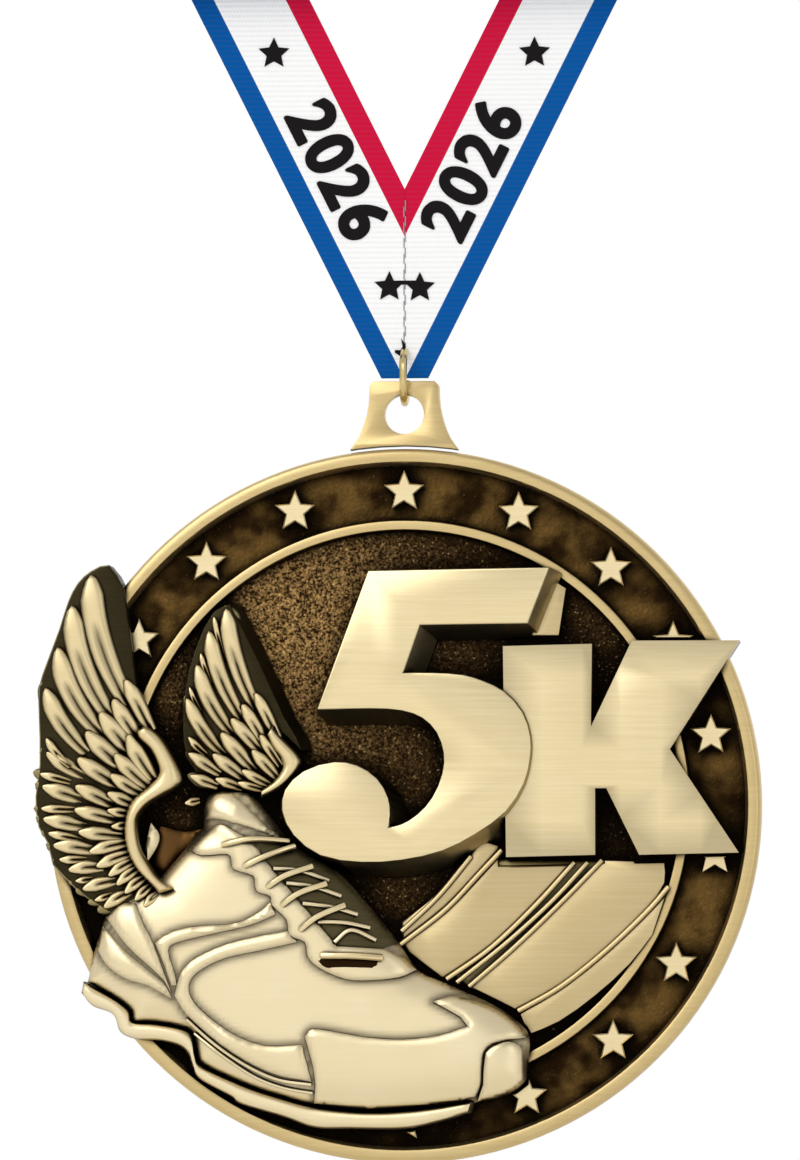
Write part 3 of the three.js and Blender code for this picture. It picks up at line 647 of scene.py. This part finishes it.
SHOE_PANELS = {  # name: (outline, how far it stands out, replaced CAD nodes)
    "shown_quarter_band": (outline(
        [[-22.3, -18.6], [-21.9, -17], [-21.4, -16], [-20.1, -14.9], [-17.2, -13.6], [-13.9, -12.8],
         [-11.1, -12.3]],
        [[-10.3, -13.4], [-13.9, -14.2], [-17.2, -14.9], [-19.4, -15.9], [-20.6, -16.9], [-20.9, -18],
         [-20.4, -19.3], [-18.7, -20.9], [-16.3, -22.5], [-13.4, -23.5], [-9.8, -23.4]],
        [[-8.9, -27], [-12.2, -26.4], [-15.5, -24.9], [-18.7, -22.7], [-21.2, -20.4], [-22.3, -18.6]],
    ), 0.38, ("shoe_side_stripe",)),
    "shown_ankle_band": (outline(
        [[-24.2, -13.5], [-23.5, -12.9], [-22, -12.2], [-19.6, -11.8], [-17.2, -11.7], [-15.5, -11.3],
         [-13.9, -10.4], [-12.9, -9.5]],
        [[-12.4, -10.7], [-14, -11.4], [-15.5, -11.9], [-18.7, -12.6], [-22, -13.4], [-22.9, -14.2],
         [-22.3, -16.4], [-22.1, -17.6]],
        [[-22.6, -17.6], [-23.3, -15.6]],
    ), 0.38, ("shoe_heel_stripe",)),
    "heel_panel": (outline(
        [[-29.2, -10.9], [-28, -9.6], [-26.2, -9.6]],
        [[-25.3, -11.8], [-24.4, -13.5], [-22.6, -18.4]],
        [[-23.3, -17.1], [-24.8, -15.7], [-26.9, -13.8], [-29.2, -10.9]],
    ), 0.40, ()),
    "heel_wedge": (outline(
        [[-29.5, -11.8], [-27.1, -14.3], [-24.9, -16.1], [-23.2, -17.6], [-22.6, -18.9]],
        [[-24.9, -17.6], [-27.2, -16.9], [-29, -15.6], [-30, -14.1]],
    ), 0.3, ()),
    "shown_toe_panel": (outline(
        [[-9.5, -22.6], [-8.8, -21.9], [-6.9, -22.1], [-3.4, -22.7], [0.1, -22.9], [3.6, -22.5],
         [6.4, -21.6]],
        [[5.7, -20.7], [4.3, -19.9], [3, -19.2]],
        [[3.8, -18.9], [5.3, -18.7], [8.6, -19.7], [10.9, -21.2], [12, -22.7]],
        [[10.4, -22.9], [8.7, -23.4], [8, -24.2], [7.8, -25.6], [7.7, -27.3], [7, -28.6]],
        [[1.9, -29.3], [-3.4, -29.6], [-8.7, -29.1]],
        [[-8.5, -27.4], [-8.7, -25.6], [-9.5, -22.6]],
    ), 0.45, ("shoe_toe_panel",)),
    "shown_toe_bumper": (outline(
        [[8.2, -24.2], [8.9, -23.6], [10.4, -23.1], [11.7, -23.8], [11.9, -25.6], [11.7, -27.1],
         [9.7, -28.3], [7.3, -28.9]],
        [[7.9, -27.3], [8, -25.6], [8.2, -24.2]],
    ), 0.75, ("shoe_toe_bumper",)),
    "shown_lace_stay": (outline(
        [[-21, -4.3], [-19.7, -4.9], [-17.1, -4.8], [-16.7, -5.6], [-16.4, -6.3], [-14.6, -6.9],
         [-14.4, -7.8], [-14.1, -8.5], [-12.9, -8.9], [-12.7, -9.8], [-11.3, -11.2], [-11, -12.7],
         [-9.5, -13.4], [-9.2, -14.8], [-8.1, -15.9], [-5.5, -17], [-2.9, -17.1], [-0.3, -16.8],
         [1.3, -16.1]],
        [[0.2, -15], [-1.7, -14.1]],
        [[-6.4, -13.8], [-13.6, -5.2]],
        [[-14.6, -3.6], [-16.4, -2.6], [-17.8, -1.9], [-19.3, -2.6], [-21, -4.3]],
    ), 0.5, ("shoe_lace_stay",)),
    "tongue_top": (outline(
        [[-19.4, -1.4], [-19.4, 0.1], [-18.8, 0.9], [-17.7, 1.4]],
        [[-16.9, 1.3], [-11.9, -3.3]],
        [[-14.2, -2.5], [-16, -1.9], [-18, -1.4], [-19.4, -1.4]],
    ), 0.3, ()),
}
THROAT = outline(
    [[-13.6, -5.2], [-6.4, -13.8]], [[-1.9, -14], [-0.6, -13.5]],
    [[-1.7, -12.1], [-6.5, -6.7], [-11.3, -3.6]], [[-14.4, -3.2], [-13.6, -5.2]],
)
SLOT = outline([[-8.3, -15.1], [-7.8, -14.9], [-3.0, -15.0], [-2.2, -15.5]],
               [[-2.9, -16], [-5.6, -15.9], [-7.4, -15.9], [-8.3, -15.1]])
LACES = [  # start on the stay, then the far end at the vamp
    [[-17.6, -3.9], [-14.6, -3.3], [-11.2, -3.5]],
    [[-15.4, -6], [-13.4, -5], [-10.6, -4]],
    [[-13.1, -8], [-11.4, -6.9], [-8.8, -6]],
    [[-11.7, -9.8], [-10, -8.6], [-7.4, -7.7]],
    [[-9.9, -12.2], [-8.2, -10.9], [-5.6, -9.8]],
    [[-7.8, -14.7], [-5, -14.7], [-1.9, -14.9]],
]
FAR_LACES = [
    [[-12.6, -6.2], [-10, -6.4], [-7.2, -7.4]],
    [[-11.3, -7.6], [-8.6, -8], [-6, -8.9]],
    [[-9.7, -9.6], [-6.8, -10], [-4.4, -10.7]],
    [[-8.2, -11.4], [-5.6, -11.5], [-3.2, -12]],
    [[-6.6, -13.4], [-5, -12.2], [-2.6, -13.2]],
]
WELT_LINES = [  # the two fine lines above the sole
    [[-21.2, -20.9], [-18.7, -23.1], [-15.5, -25.3], [-12.2, -26.8], [-8.9, -27.3]],
    [[-20.4, -22.3], [-17.7, -24.4], [-14.5, -26.5], [-11.6, -27.6], [-8.8, -28.1]],
]
LINING = outline(
    [[-23.9, -2], [-21.6, -2.5], [-19.5, -2.2]],
    [[-20.6, -3.4], [-22, -5.2], [-23.8, -7]], [[-24.6, -5.6], [-24.6, -3.6]],
)
PULL_TAB = outline(
    [[-24.8, -1.7], [-24, -2.8], [-24.2, -4], [-25.4, -5.9]], [[-25.7, -5.7], [-25.2, -3.4]],
)
ANKLE_SEAM = [[-18.0, 1.5], [-16.2, 0.2], [-13.6, -2.2], [-11.8, -3.5]]


def seam_shade():
    """Painted shade with black patina beside the raised panels, fading over about half a millimetre."""
    lines = [line for line, _, _ in SHOE_PANELS.values()] + [THROAT, smooth_line(ANKLE_SEAM, 8)]
    dots = [a.lerp(b, i / 6) for line in lines for a, b in zip(line, line[1:] + line[:1]) for i in range(6)]
    tree = kdtree.KDTree(len(dots))
    for i, dot in enumerate(dots):
        tree.insert((dot.x, 0.0, dot.y), i)
    tree.balance()
    return lambda x, z: 1 - 0.8 * math.exp(-(tree.find((x, 0.0, z))[2] / 0.5) ** 2)


def make_shoe():
    crowned_panel("shown_shoe_upper", SHOE_LINE, shoe_height(), FIELD, PANEL_CELL, SHOE_GOLD,
                  replaces=("shoe_upper",), edge=0.3, shade=seam_shade())
    for name, (line, lift, stands_for) in SHOE_PANELS.items():
        crowned_panel(name, line, shoe_height(lift), PANEL_FOOT, PANEL_CELL, SHOE_GOLD,
                      replaces=stands_for, edge=0.24, drop=0.26)
    crowned_panel("shown_throat", THROAT, shoe_height(0.08), PANEL_FOOT, PANEL_CELL, OLIVE_GOLD,
                  replaces=("shoe_tongue",), edge=0.1, drop=0.05, shade=lambda x, z: 0.3)
    crowned_panel("lace_slot", SLOT, shoe_height(0.54), PANEL_FOOT, PANEL_CELL, LINING_BROWN,
                  slot="patina", edge=0.06, drop=0.05, shade=lambda x, z: 0.1)
    for i, line in enumerate(LACES):
        arch = over_shoe(line, 0.80)
        arch[0][1] += 0.25  # the near end dips into its eyelet
        tube(f"shown_lace_{i + 1}", arch, 0.36 if i == 5 else 0.3, GOLD, replaces=(f"shoe_lace_{i + 1}",))
    for i, line in enumerate(FAR_LACES):
        tube(f"far_lace_{i + 1}", over_shoe(line, 0.28), 0.24, SHOE_GOLD)
    for i, line in enumerate(WELT_LINES):
        tube(f"shoe_welt_line_{i + 1}", over_shoe(line, 0.16), 0.16, SHOE_GOLD)
    crowned_panel("shown_lining", LINING,
                  lambda x, z: FIELD - 1.1 + 0.5 * math.exp(-((x + 21.8) / 0.9) ** 2), FIELD, 0.6,
                  LINING_BROWN, slot="patina", replaces=("shoe_lining",))
    crowned_panel("pull_tab", PULL_TAB, lambda x, z: FIELD - 2.2, FIELD - 1.0, 0.8, SHOE_GOLD, edge=0.12)


SOLE_EDGES = (
    [[-31.4, -17.2], [-28.5, -18.8], [-26.9, -20], [-26.6, -21.1], [-24.4, -21.3], [-21.7, -21.8],
     [-20.7, -22.5], [-20.4, -24.3], [-19.7, -25.5], [-15.5, -27.4], [-12.2, -28.5], [-8.7, -29.4],
     [-3.4, -29.9], [1.9, -29.6], [7, -28.8]],
    [[-31.6, -18.3], [-30.5, -19.6], [-28.5, -20.4], [-27.8, -22.1], [-26.4, -22.8], [-23.9, -23],
     [-22, -23.5], [-21.1, -24.3], [-20.6, -25.6], [-19.9, -26.8], [-16.8, -28.5], [-15.9, -29.2],
     [-11.6, -30.5], [-8.7, -31.5], [-5.2, -31.6], [0.1, -31.6], [3.6, -30.9], [6.6, -30]],
)


def make_sole():
    rounded_band("shown_sole", *SOLE_EDGES, lambda x, z: SOLE_TOP + 0.2, HIDDEN_FOOT, SHOE_GOLD,
                 replaces=("shoe_sole",), steps=120, rise=0.8, square=4.0)


# ---- wings --------------------------------------------------------------------------------------
def feather(bm, tip, root, width, top, bend=0.0, fall=0.6, groove=0.3):
    """One feather as a closed leaf: flat across, with turned-down edges and a blackened groove."""
    polish_and_painted_light = bm.verts.layers.float["polish_and_painted_light"]
    tip, root = Vector(tip), Vector(root)
    along = root - tip
    side = Vector((-along.y, along.x)).normalized()
    round_tip = min(0.45, 0.9 * width / along.length)
    leaf = bmesh.ops.create_grid(bm, x_segments=11, y_segments=8, size=0.5)["verts"]
    faces = list({f for v in leaf for f in v.link_faces})
    back = bmesh.ops.extrude_face_region(bm, geom=faces)["geom"]
    lower = set(verts_in(back))
    for vert in leaf + list(lower):
        t, s = (vert.co.x + 0.5) ** 1.4, vert.co.y * 2
        tip_share = min(1.0, t / round_tip)
        half = width / 2 * (0.06 + 0.94 * math.sqrt(tip_share)) * (1 - 0.25 * max(0.0, (t - 0.6) / 0.4))
        at = tip + along * t + side * (half * s + bend * 4 * t * (1 - t))
        cut = math.exp(-(s / 0.26) ** 2) * max(0.0, min(1.0, (t - 0.34) / 0.12)) * (1.0 if groove else 0.0)
        depth = top + fall * t + 0.3 * abs(s) ** 4 + 0.2 * (1 - tip_share) + groove * cut
        vert.co = place(at.x, at.y, depth + (0.8 if vert in lower else 0.0))
        edge = max(abs(s) ** 6, 1 - min(1.0, t / 0.02))
        vert[polish_and_painted_light] = 0.0 if vert in lower else (1 - 0.95 * edge) * (1 - 0.85 * cut)


def feathers(name, rows, material, top, fall=0.6, groove=0.3, replaces=(), wider=1.0):
    bm = bmesh.new()
    bm.verts.layers.float.new("polish_and_painted_light")
    for tip, root, width, bend in rows:
        feather(bm, tip, root, width * wider, top, bend, fall, groove)
    return piece_from(bm, name, material, replaces=replaces)


NEAR_LONG = [
    ([-30.6, 22.6], [-26.9, 9.9], 2.15, -1), ([-32.5, 19.6], [-28.5, 8.4], 1.95, -1),
    ([-33.9, 15.5], [-29.6, 7], 1.9, -0.85), ([-35.1, 11.5], [-31, 5.2], 1.65, -0.55),
    ([-35, 6.6], [-32.6, 3.8], 0.8, -0.2),
]
NEAR_SECOND = [
    ([-27.2, 12.3], [-24.7, 7.3], 1.25, 0), ([-28.4, 10.4], [-25.8, 6.2], 1.35, -0.1),
    ([-29.7, 9.1], [-26.2, 5], 1.5, -0.15), ([-31.1, 7.2], [-27.2, 3.7], 1.5, -0.15),
]
NEAR_OUTER = [
    ([-35, 5.2], [-31.2, 2.9], 1.3, -0.1), ([-35.6, 3.1], [-32.6, 2.3], 0.8, 0),
    ([-35.4, 1.9], [-31.4, 0.6], 1.35, 0), ([-35.5, -0.3], [-32.2, -0.4], 0.8, 0),
    ([-35.3, -1.3], [-31, -2.1], 1.3, 0), ([-34.8, -2.7], [-31.4, -3.4], 0.8, 0),
    ([-34.3, -3.9], [-30, -4.4], 1.3, 0.1), ([-33.7, -5.3], [-31, -5.3], 0.8, 0),
    ([-32.8, -6.3], [-29.4, -6], 1.2, 0.1), ([-32.1, -7.4], [-30.4, -7.2], 0.7, 0),
    ([-31.4, -8.2], [-28, -7.3], 1.15, 0.1), ([-30.2, -9.3], [-28.4, -8.7], 0.7, 0),
    ([-29.3, -10], [-26.7, -8.4], 1.1, 0.1), ([-27.8, -11], [-25.6, -9.4], 1, 0.1),
]
NEAR_MIDDLE = [
    ([-31.9, 4.6], [-27.6, 1.9], 1.4, -0.1), ([-32.1, 1.9], [-28.2, 0], 1.3, 0),
    ([-32.2, -0.4], [-27.6, -1.5], 1.2, 0), ([-31.8, -2.6], [-27.5, -3], 1.2, 0),
    ([-30.7, -4.6], [-26.9, -3.6], 1.1, 0.1), ([-30, -6], [-26.7, -4.7], 1.1, 0.1),
    ([-28.8, -6.9], [-26.4, -5.4], 1, 0.1), ([-28, -7.8], [-25.9, -6.1], 1, 0.1),
    ([-27.2, -8.6], [-25.3, -7], 1, 0.1), ([-26.2, -9.3], [-24.7, -7.8], 0.9, 0.05),
    ([-25.3, -9.9], [-23.9, -8.5], 0.9, 0.05),
]
NEAR_INNER = [
    ([-26.9, 6.9], [-24.4, 2.6], 1.5, -0.2), ([-28.2, 5], [-25, 1.9], 1.4, -0.1),
    ([-28.6, 3], [-25.6, 1.1], 1.2, -0.05), ([-28.9, 1.2], [-26.2, 0], 1.1, 0),
    ([-28.9, -0.5], [-26.6, -0.9], 0.9, 0), ([-28.5, -2.1], [-26.6, -1.9], 0.8, 0),
]
FAR_LONG = [
    ([-17.4, 19.3], [-14.4, 9.4], 1.55, -0.6), ([-19.1, 17.1], [-15.7, 8.3], 1.5, -0.6),
    ([-20.3, 13.8], [-16.6, 6.8], 1.45, -0.55), ([-21.3, 10.5], [-17.6, 5], 1.35, -0.45),
    ([-18.6, 18.5], [-17.5, 14.2], 0.55, -0.1), ([-19.9, 14.9], [-18.9, 12], 0.55, -0.1),
    ([-21, 11.6], [-19.9, 9.2], 0.5, -0.1), ([-21.1, 6.7], [-19.4, 5], 0.8, -0.1),
]
FAR_SHORT = [
    ([-14.5, 11], [-12.3, 6.6], 1.05, 0), ([-15.8, 9.9], [-13.4, 5.8], 1.1, 0),
    ([-16.9, 8.5], [-13.6, 4.9], 1.15, 0), ([-17.9, 7.1], [-14.6, 3.4], 1.25, 0),
    ([-18.7, 5], [-15.5, 2.6], 1.15, 0), ([-21.1, 5.1], [-18, 3.1], 1.1, 0),
    ([-20.9, 2.9], [-18.2, 1.9], 1, 0), ([-18.4, 2.6], [-15.8, 1.7], 0.9, 0),
    ([-21.4, 0.2], [-20, 0.5], 0.8, 0),
]
FAR_INNER = [
    ([-14, 6.9], [-12, 3.9], 1, 0), ([-14.8, 5.4], [-12.3, 2.7], 1.1, 0),
    ([-15.8, 3.4], [-13, 1.9], 0.9, 0), ([-16.2, 2.2], [-13.6, 1.5], 0.7, 0),
]
NEAR_BONE_EDGES = (
    [[-25.3, 7.7], [-24.4, 7.3], [-23.2, 5.9], [-21.7, 2.9], [-22.1, 1.9], [-23.2, 1.2], [-24.9, 0.2],
     [-25.9, -1], [-26, -2.3], [-25.7, -4.1], [-25, -5.5], [-23.9, -7.1], [-22.4, -8.2]],
    [[-26, 7.3], [-25.8, 6.6], [-24.6, 5.4], [-23.8, 3.6], [-24, 2.7], [-25.1, 1.6], [-26.4, 0.5],
     [-27, -0.8], [-27.2, -2.5], [-26.9, -4.4], [-26, -6.2], [-24.6, -7.7], [-23.8, -8.6]],
)
FAR_BONE_EDGES = (
    [[-12.8, 7.7], [-12.2, 6.9], [-10.4, 5], [-10.1, 3.9], [-11.2, 2.4], [-12.6, 1.4], [-13.9, 0.8]],
    [[-13.3, 6.9], [-12.7, 5.6], [-12, 4.7], [-11.8, 3.7], [-12.4, 2.6], [-13.2, 1.9], [-13.9, 1.4]],
)


def blade_patina_and_painted_light(normal):
    """Black patina between the feathers, painted shade on the walls that face right, and a painted highlight
    on the other walls, round the outer edge.
    """
    if normal.y < -0.95:
        return 0.1
    return 0.12 if normal.x > 0.3 else 0.95


def edge_scallops(rows, reach, wider):
    """Short leaves behind the feathers' tips, which give the wing its scalloped edge."""
    short = []
    for tip, root, width, bend in rows:
        tip, root = Vector(tip), Vector(root)
        out = (tip - root).normalized()
        short.append((tip + out * reach, tip - out * 2.2, width + wider, 0.0))
    return short


def make_wings():
    near_set = tuple(f"near_wing_feather_{i}" for i in range(1, 5))
    far_set = tuple(f"far_wing_feather_{i}" for i in range(1, 5))
    cut_from_cad("near_wing_blade", 1.0, material=OLIVE_GOLD, segments=3, polish_and_painted_light_of=blade_patina_and_painted_light)
    cut_from_cad("far_wing_blade", 0.4, lean=(1.0, 0.0), material=OLIVE_GOLD, polish_and_painted_light_of=blade_patina_and_painted_light)
    feathers("near_wing_scallops", edge_scallops(NEAR_OUTER + NEAR_LONG[3:], 0.75, 0.9), OLIVE_GOLD,
             NEAR_TOP - 0.2, groove=0.0)
    feathers("far_wing_scallops", edge_scallops(FAR_LONG[:4] + FAR_SHORT[5:7], 0.35, 0.6), OLIVE_GOLD,
             FAR_TOP - 0.2, groove=0.0)
    feathers("near_long_feathers", NEAR_LONG, SATIN_GOLD, NEAR_TOP - 0.75, fall=0.4, replaces=near_set,
             wider=1.12)
    feathers("near_outer_feathers", NEAR_OUTER, SATIN_GOLD, NEAR_TOP - 0.55, fall=0.4, wider=1.2)
    feathers("near_second_feathers", NEAR_SECOND, SATIN_GOLD, NEAR_TOP - 0.95, wider=1.25)
    feathers("near_middle_feathers", NEAR_MIDDLE, SATIN_GOLD, NEAR_TOP - 0.95, wider=1.2)
    feathers("near_inner_feathers", NEAR_INNER, SATIN_GOLD, NEAR_TOP - 1.25, wider=1.2)
    rounded_band("shown_near_bone", *NEAR_BONE_EDGES, lambda x, z: NEAR_TOP - 1.7, HIDDEN_FOOT, SATIN_GOLD,
                 replaces=("near_wing_bone",))
    feathers("far_long_feathers", FAR_LONG, SATIN_GOLD, FAR_TOP - 0.75, fall=0.4, replaces=far_set,
             wider=1.12)
    feathers("far_short_feathers", FAR_SHORT, SATIN_GOLD, FAR_TOP - 0.95, fall=0.5, groove=0.25, wider=1.2)
    feathers("far_inner_feathers", FAR_INNER, SATIN_GOLD, FAR_TOP - 1.2, fall=0.5, groove=0.25, wider=1.2)
    rounded_band("shown_far_bone", *FAR_BONE_EDGES, lambda x, z: FAR_TOP - 1.5, FIELD, SATIN_GOLD,
                 replaces=("far_wing_bone",), rise=0.5)


# ---- jump ring ----------------------------------------------------------------------------------
def make_jump_ring():
    wire = (RING_HIGH.x - RING_LOW.x) / 2 / MM
    middle = ((RING_HIGH.z + RING_LOW.z) / 2 - CENTRE_Z) / MM
    reach = (RING_HIGH.z - RING_LOW.z) / 2 / MM - wire
    gap = math.radians(4)
    turns = [gap + (math.tau - 2 * gap) * i / 47 for i in range(48)]
    points = [[0, reach * math.cos(a), middle + reach * math.sin(a)] for a in turns]
    tube("shown_jump_ring", points, wire * 0.98, WIRE_GOLD, slot="wire", body="ring", replaces=("jump_ring",),
         dark_walls=False)


# ---- ribbon -------------------------------------------------------------------------------------
RIBBON_WIDTH = 10.4
CLOTH = 0.45
LEAN = math.radians(26.6)
TIP = (2.3, 42.0)  # half width and height of the V's lower end
STRAP_LENGTH = 47.0
HANK_RUNS = 12
RUN_POINTS = 12
PAPER_THICKNESS = 0.4
BAND_CORNER = 0.8
YEAR, YEAR_SIZE = "2026", 6.5
STROKE_COPIES, STROKE_SHIFT = 8, 0.14
PRINT_PROUD = 0.06
STITCHES, STITCH_PITCH, STITCH_START = 11, 1.55, 43.2


def cloth_piece(bm, name, material, stands_for):
    made = piece_from(bm, name, material, body="ribbon", slot="ribbon", replaces=stands_for, recalc=False)
    thicken(made, "cloth", CLOTH)
    return made


def strap_point(side, across, along):
    """A point on one strap: across from its blue edge (0) to its red one (1), along from the tip in mm."""
    x = TIP[0] + math.sin(LEAN) * along - math.cos(LEAN) * across * RIBBON_WIDTH
    z = TIP[1] + math.cos(LEAN) * along + math.sin(LEAN) * across * RIBBON_WIDTH
    return side * x, z


def cloth_wave(side, across, along):
    """How far, in mm, the strap sways in depth."""
    sway = 0.10 * math.sin(along / 7.0 + side) * (across - 0.5) + 0.06 * math.sin(along / 11.0)
    return sway * min(1.0, max(along, 0.0) / 8)


def on_strap(x, z, proud):
    """A point lying proud mm in front of the strap at x and z."""
    side = 1 if x > 0 else -1
    out, up = side * x - TIP[0], z - TIP[1]
    along = out * math.sin(LEAN) + up * math.cos(LEAN)
    across = (up * math.sin(LEAN) - out * math.cos(LEAN)) / RIBBON_WIDTH
    return place(x, z, cloth_wave(side, across, along) - CLOTH / 2 - proud)


def make_strap(name, side):
    bm = bmesh.new()
    strip = bm.loops.layers.uv.new("strip")
    verts = bmesh.ops.create_grid(bm, x_segments=10, y_segments=60, size=0.5)["verts"]
    start, stop = -6.0, STRAP_LENGTH
    spots = {v: (v.co.x + 0.5, start + (v.co.y + 0.5) * (stop - start)) for v in verts}
    for face in bm.faces:
        for loop in face.loops:
            across, along = spots[loop.vert]
            loop[strip].uv = (across, strap_point(side, across, along)[1])  # the ribs run level
    for vert, (across, along) in spots.items():
        x, z = strap_point(side, across, along)
        vert.co = place(x, z, cloth_wave(side, across, along))
    for point, normal in ((place(side * 0.01, 0), (-side, 0, 0)), (place(0, TIP[1]), (0, 0, -1))):
        bmesh.ops.bisect_plane(bm, geom=bm.verts[:] + bm.edges[:] + bm.faces[:], dist=1e-7, plane_co=point,
                               plane_no=normal, clear_outer=True)
    bm.normal_update()
    if sum(f.normal.y * f.calc_area() for f in bm.faces) > 0:
        bmesh.ops.reverse_faces(bm, faces=bm.faces)
    return cloth_piece(bm, "shown_" + name, GROSGRAIN, (name,))


def make_folded_length():
    """The ribbon's unseen length, folded to and fro in flat runs."""
    half = (HANK_HIGH.x - HANK_LOW.x) / 2 / MM - 0.8
    pitch = (HANK_HIGH.y - HANK_LOW.y - CLOTH * MM) / MM / (HANK_RUNS - 1) * 0.97
    middle_z = ((HANK_LOW.z + HANK_HIGH.z) / 2 - CENTRE_Z) / MM
    path = []
    for run in range(HANK_RUNS):
        way = 1 if run % 2 == 0 else -1
        y = -pitch * (HANK_RUNS - 1) / 2 + run * pitch
        reach = half - 0.5 * ((run * 7) % 3)
        path += [(way * reach * (2 * i / RUN_POINTS - 1), y) for i in range(RUN_POINTS + 1)]
        if run < HANK_RUNS - 1:
            path += [(way * (reach + pitch / 2 * math.sin(a)), y + pitch / 2 * (1 - math.cos(a)))
                     for a in (math.pi * j / 6 for j in range(1, 6))]
    bm = bmesh.new()
    strip = bm.loops.layers.uv.new("strip")
    low = [bm.verts.new(place(x, middle_z - RIBBON_WIDTH / 2, y)) for x, y in path]
    along = [0.0]
    for a, b in zip(low, low[1:]):
        along.append(along[-1] + (a.co - b.co).length / MM)
    travelled = {v: s for v, s in zip(low, along)}
    edges = [bm.edges.new(pair) for pair in zip(low, low[1:])]
    high = bmesh.ops.extrude_edge_only(bm, edges=edges)["geom"]
    raised = verts_in(high)
    for vert in raised:
        below = min(low, key=lambda v: (v.co - vert.co).length)
        travelled[vert] = travelled[below]
    for vert in raised:
        vert.co.z += RIBBON_WIDTH * MM
    lifted = set(raised)
    for face in bm.faces:
        for loop in face.loops:
            loop[strip].uv = (1.0 if loop.vert in lifted else 0.0, travelled[loop.vert])
    cloth_piece(bm, "shown_folded_length", GROSGRAIN, ("ribbon_folded_length",))


def make_band():
    low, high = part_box("ribbon_band")
    half_y, half_z = (high.y - low.y) / 2 / MM - 0.25, (high.z - low.z) / 2 / MM - 0.25
    middle_z = ((low.z + high.z) / 2 - CENTRE_Z) / MM
    half_x = (high.x - low.x) / 2 / MM
    loop = []
    for cy, cz, start in ((1, 1, 0), (-1, 1, 90), (-1, -1, 180), (1, -1, 270)):
        for step in range(6):
            a = math.radians(start + step * 18)
            loop.append((cy * (half_y - BAND_CORNER) + BAND_CORNER * math.cos(a),
                         cz * (half_z - BAND_CORNER) + BAND_CORNER * math.sin(a)))
    bm = bmesh.new()
    ring = [bm.verts.new(place(-half_x, middle_z + z, y)) for y, z in loop]
    edges = [bm.edges.new((a, b)) for a, b in zip(ring, ring[1:] + ring[:1])]
    grown = bmesh.ops.extrude_edge_only(bm, edges=edges)["geom"]
    bmesh.ops.translate(bm, verts=verts_in(grown), vec=(2 * half_x * MM, 0, 0))
    made = piece_from(bm, "shown_band", PAPER, body="ribbon", slot="paper", replaces=("ribbon_band",))
    thicken(made, "paper", PAPER_THICKNESS)


# ---- ribbon's print and stitches ----------------------------------------------------------------
def printed_number(name, side):
    """The year, reading down the left strap and up the right one, its top towards the red stripe."""
    data = bpy.data.curves.new(name, "FONT")
    data.body, data.size, data.offset = YEAR, YEAR_SIZE, 0.12
    data.align_x, data.align_y, data.extrude, data.space_character = "CENTER", "CENTER", 0.03, 1.12
    bm = bmesh_of(data)
    reading = Vector((math.sin(LEAN), side * math.cos(LEAN)))
    top = Vector((-reading.y, reading.x))
    cx, cz = strap_point(side, 0.49, 20.3)
    glyphs = bm.verts[:] + bm.edges[:] + bm.faces[:]
    for i in range(STROKE_COPIES):  # heavier strokes, from copies shifted all round
        angle = i * math.tau / STROKE_COPIES
        copied = bmesh.ops.duplicate(bm, geom=glyphs)["geom"]
        shift = (STROKE_SHIFT * math.cos(angle), STROKE_SHIFT * math.sin(angle), 0.002 * (i + 1))
        bmesh.ops.translate(bm, verts=verts_in(copied), vec=shift)
    for vert in bm.verts:
        x = cx + reading.x * vert.co.x + top.x * vert.co.y
        z = cz + reading.y * vert.co.x + top.y * vert.co.y
        vert.co = on_strap(x, z, 0.05 + vert.co.z)
    piece_from(bm, name, INK, body="ribbon", slot="ribbon", dark_walls=False)


def printed_star(bm, x, z, radius):
    flat = bmesh.ops.create_circle(bm, cap_ends=True, segments=10, radius=1.0)["verts"]
    for i, vert in enumerate(flat):
        angle = math.pi / 2 + i * math.tau / 10
        r = radius if i % 2 == 0 else radius * 0.48
        vert.co = on_strap(x + r * math.cos(angle), z + r * math.sin(angle), PRINT_PROUD)


def make_print():
    printed_number("left_printed_year", -1)
    printed_number("right_printed_year", 1)
    bm = bmesh.new()
    for x, z, radius in ((-12.9, 74.1, 1.6), (12.8, 74.0, 1.6), (-1.5, 51.0, 1.55), (1.5, 50.9, 1.55)):
        printed_star(bm, x, z, radius)
    for patch in (((-1.5, 51.6), (1.5, 51.6), (1.5, 51.2), (-1.5, 51.2)),
                  ((-0.35, 45.9), (0.1, 45.3), (0.1, 44.5), (-0.15, 43.7), (-0.5, 44.2), (-0.95, 44.5),
                   (-0.95, 44.75), (-0.4, 44.75), (-0.2, 45.1))):
        bm.faces.new([bm.verts.new(on_strap(x, z, PRINT_PROUD)) for x, z in patch])
    bmesh.ops.recalc_face_normals(bm, faces=bm.faces)
    for face in bm.faces:
        if face.normal.y > 0:
            face.normal_flip()
    made = piece_from(bm, "printed_stars", INK, body="ribbon", slot="ribbon", recalc=False, dark_walls=False)
    thicken(made, "ink", 0.05)


def make_stitches():
    """The row of straight stitches along the mitred seam of the V."""
    bm = bmesh.new()
    for side in (-1, 1):
        for i in range(STITCHES):
            z = STITCH_START + i * STITCH_PITCH + side * 0.3
            for vert in bmesh.ops.create_cube(bm, size=1.0)["verts"]:
                at = vert.co.copy()
                vert.co = on_strap(side * 0.07 + at.x * 0.10, z + at.z, 0.03 + at.y * 0.08)
    bmesh.ops.bevel(bm, geom=bm.edges[:], offset=0.03 * MM, segments=1, profile=0.5, affect="EDGES",
                    material=-1)
    piece_from(bm, "mitre_stitches", THREAD, body="ribbon", slot="ribbon", dark_walls=False)


make_camera()
make_studio()
make_disc()
make_figures()
make_trails()
make_sole()
make_shoe()
make_wings()
make_jump_ring()
make_strap("ribbon_left_strap", -1)
make_strap("ribbon_right_strap", 1)
make_folded_length()
make_band()
make_print()
make_stitches()
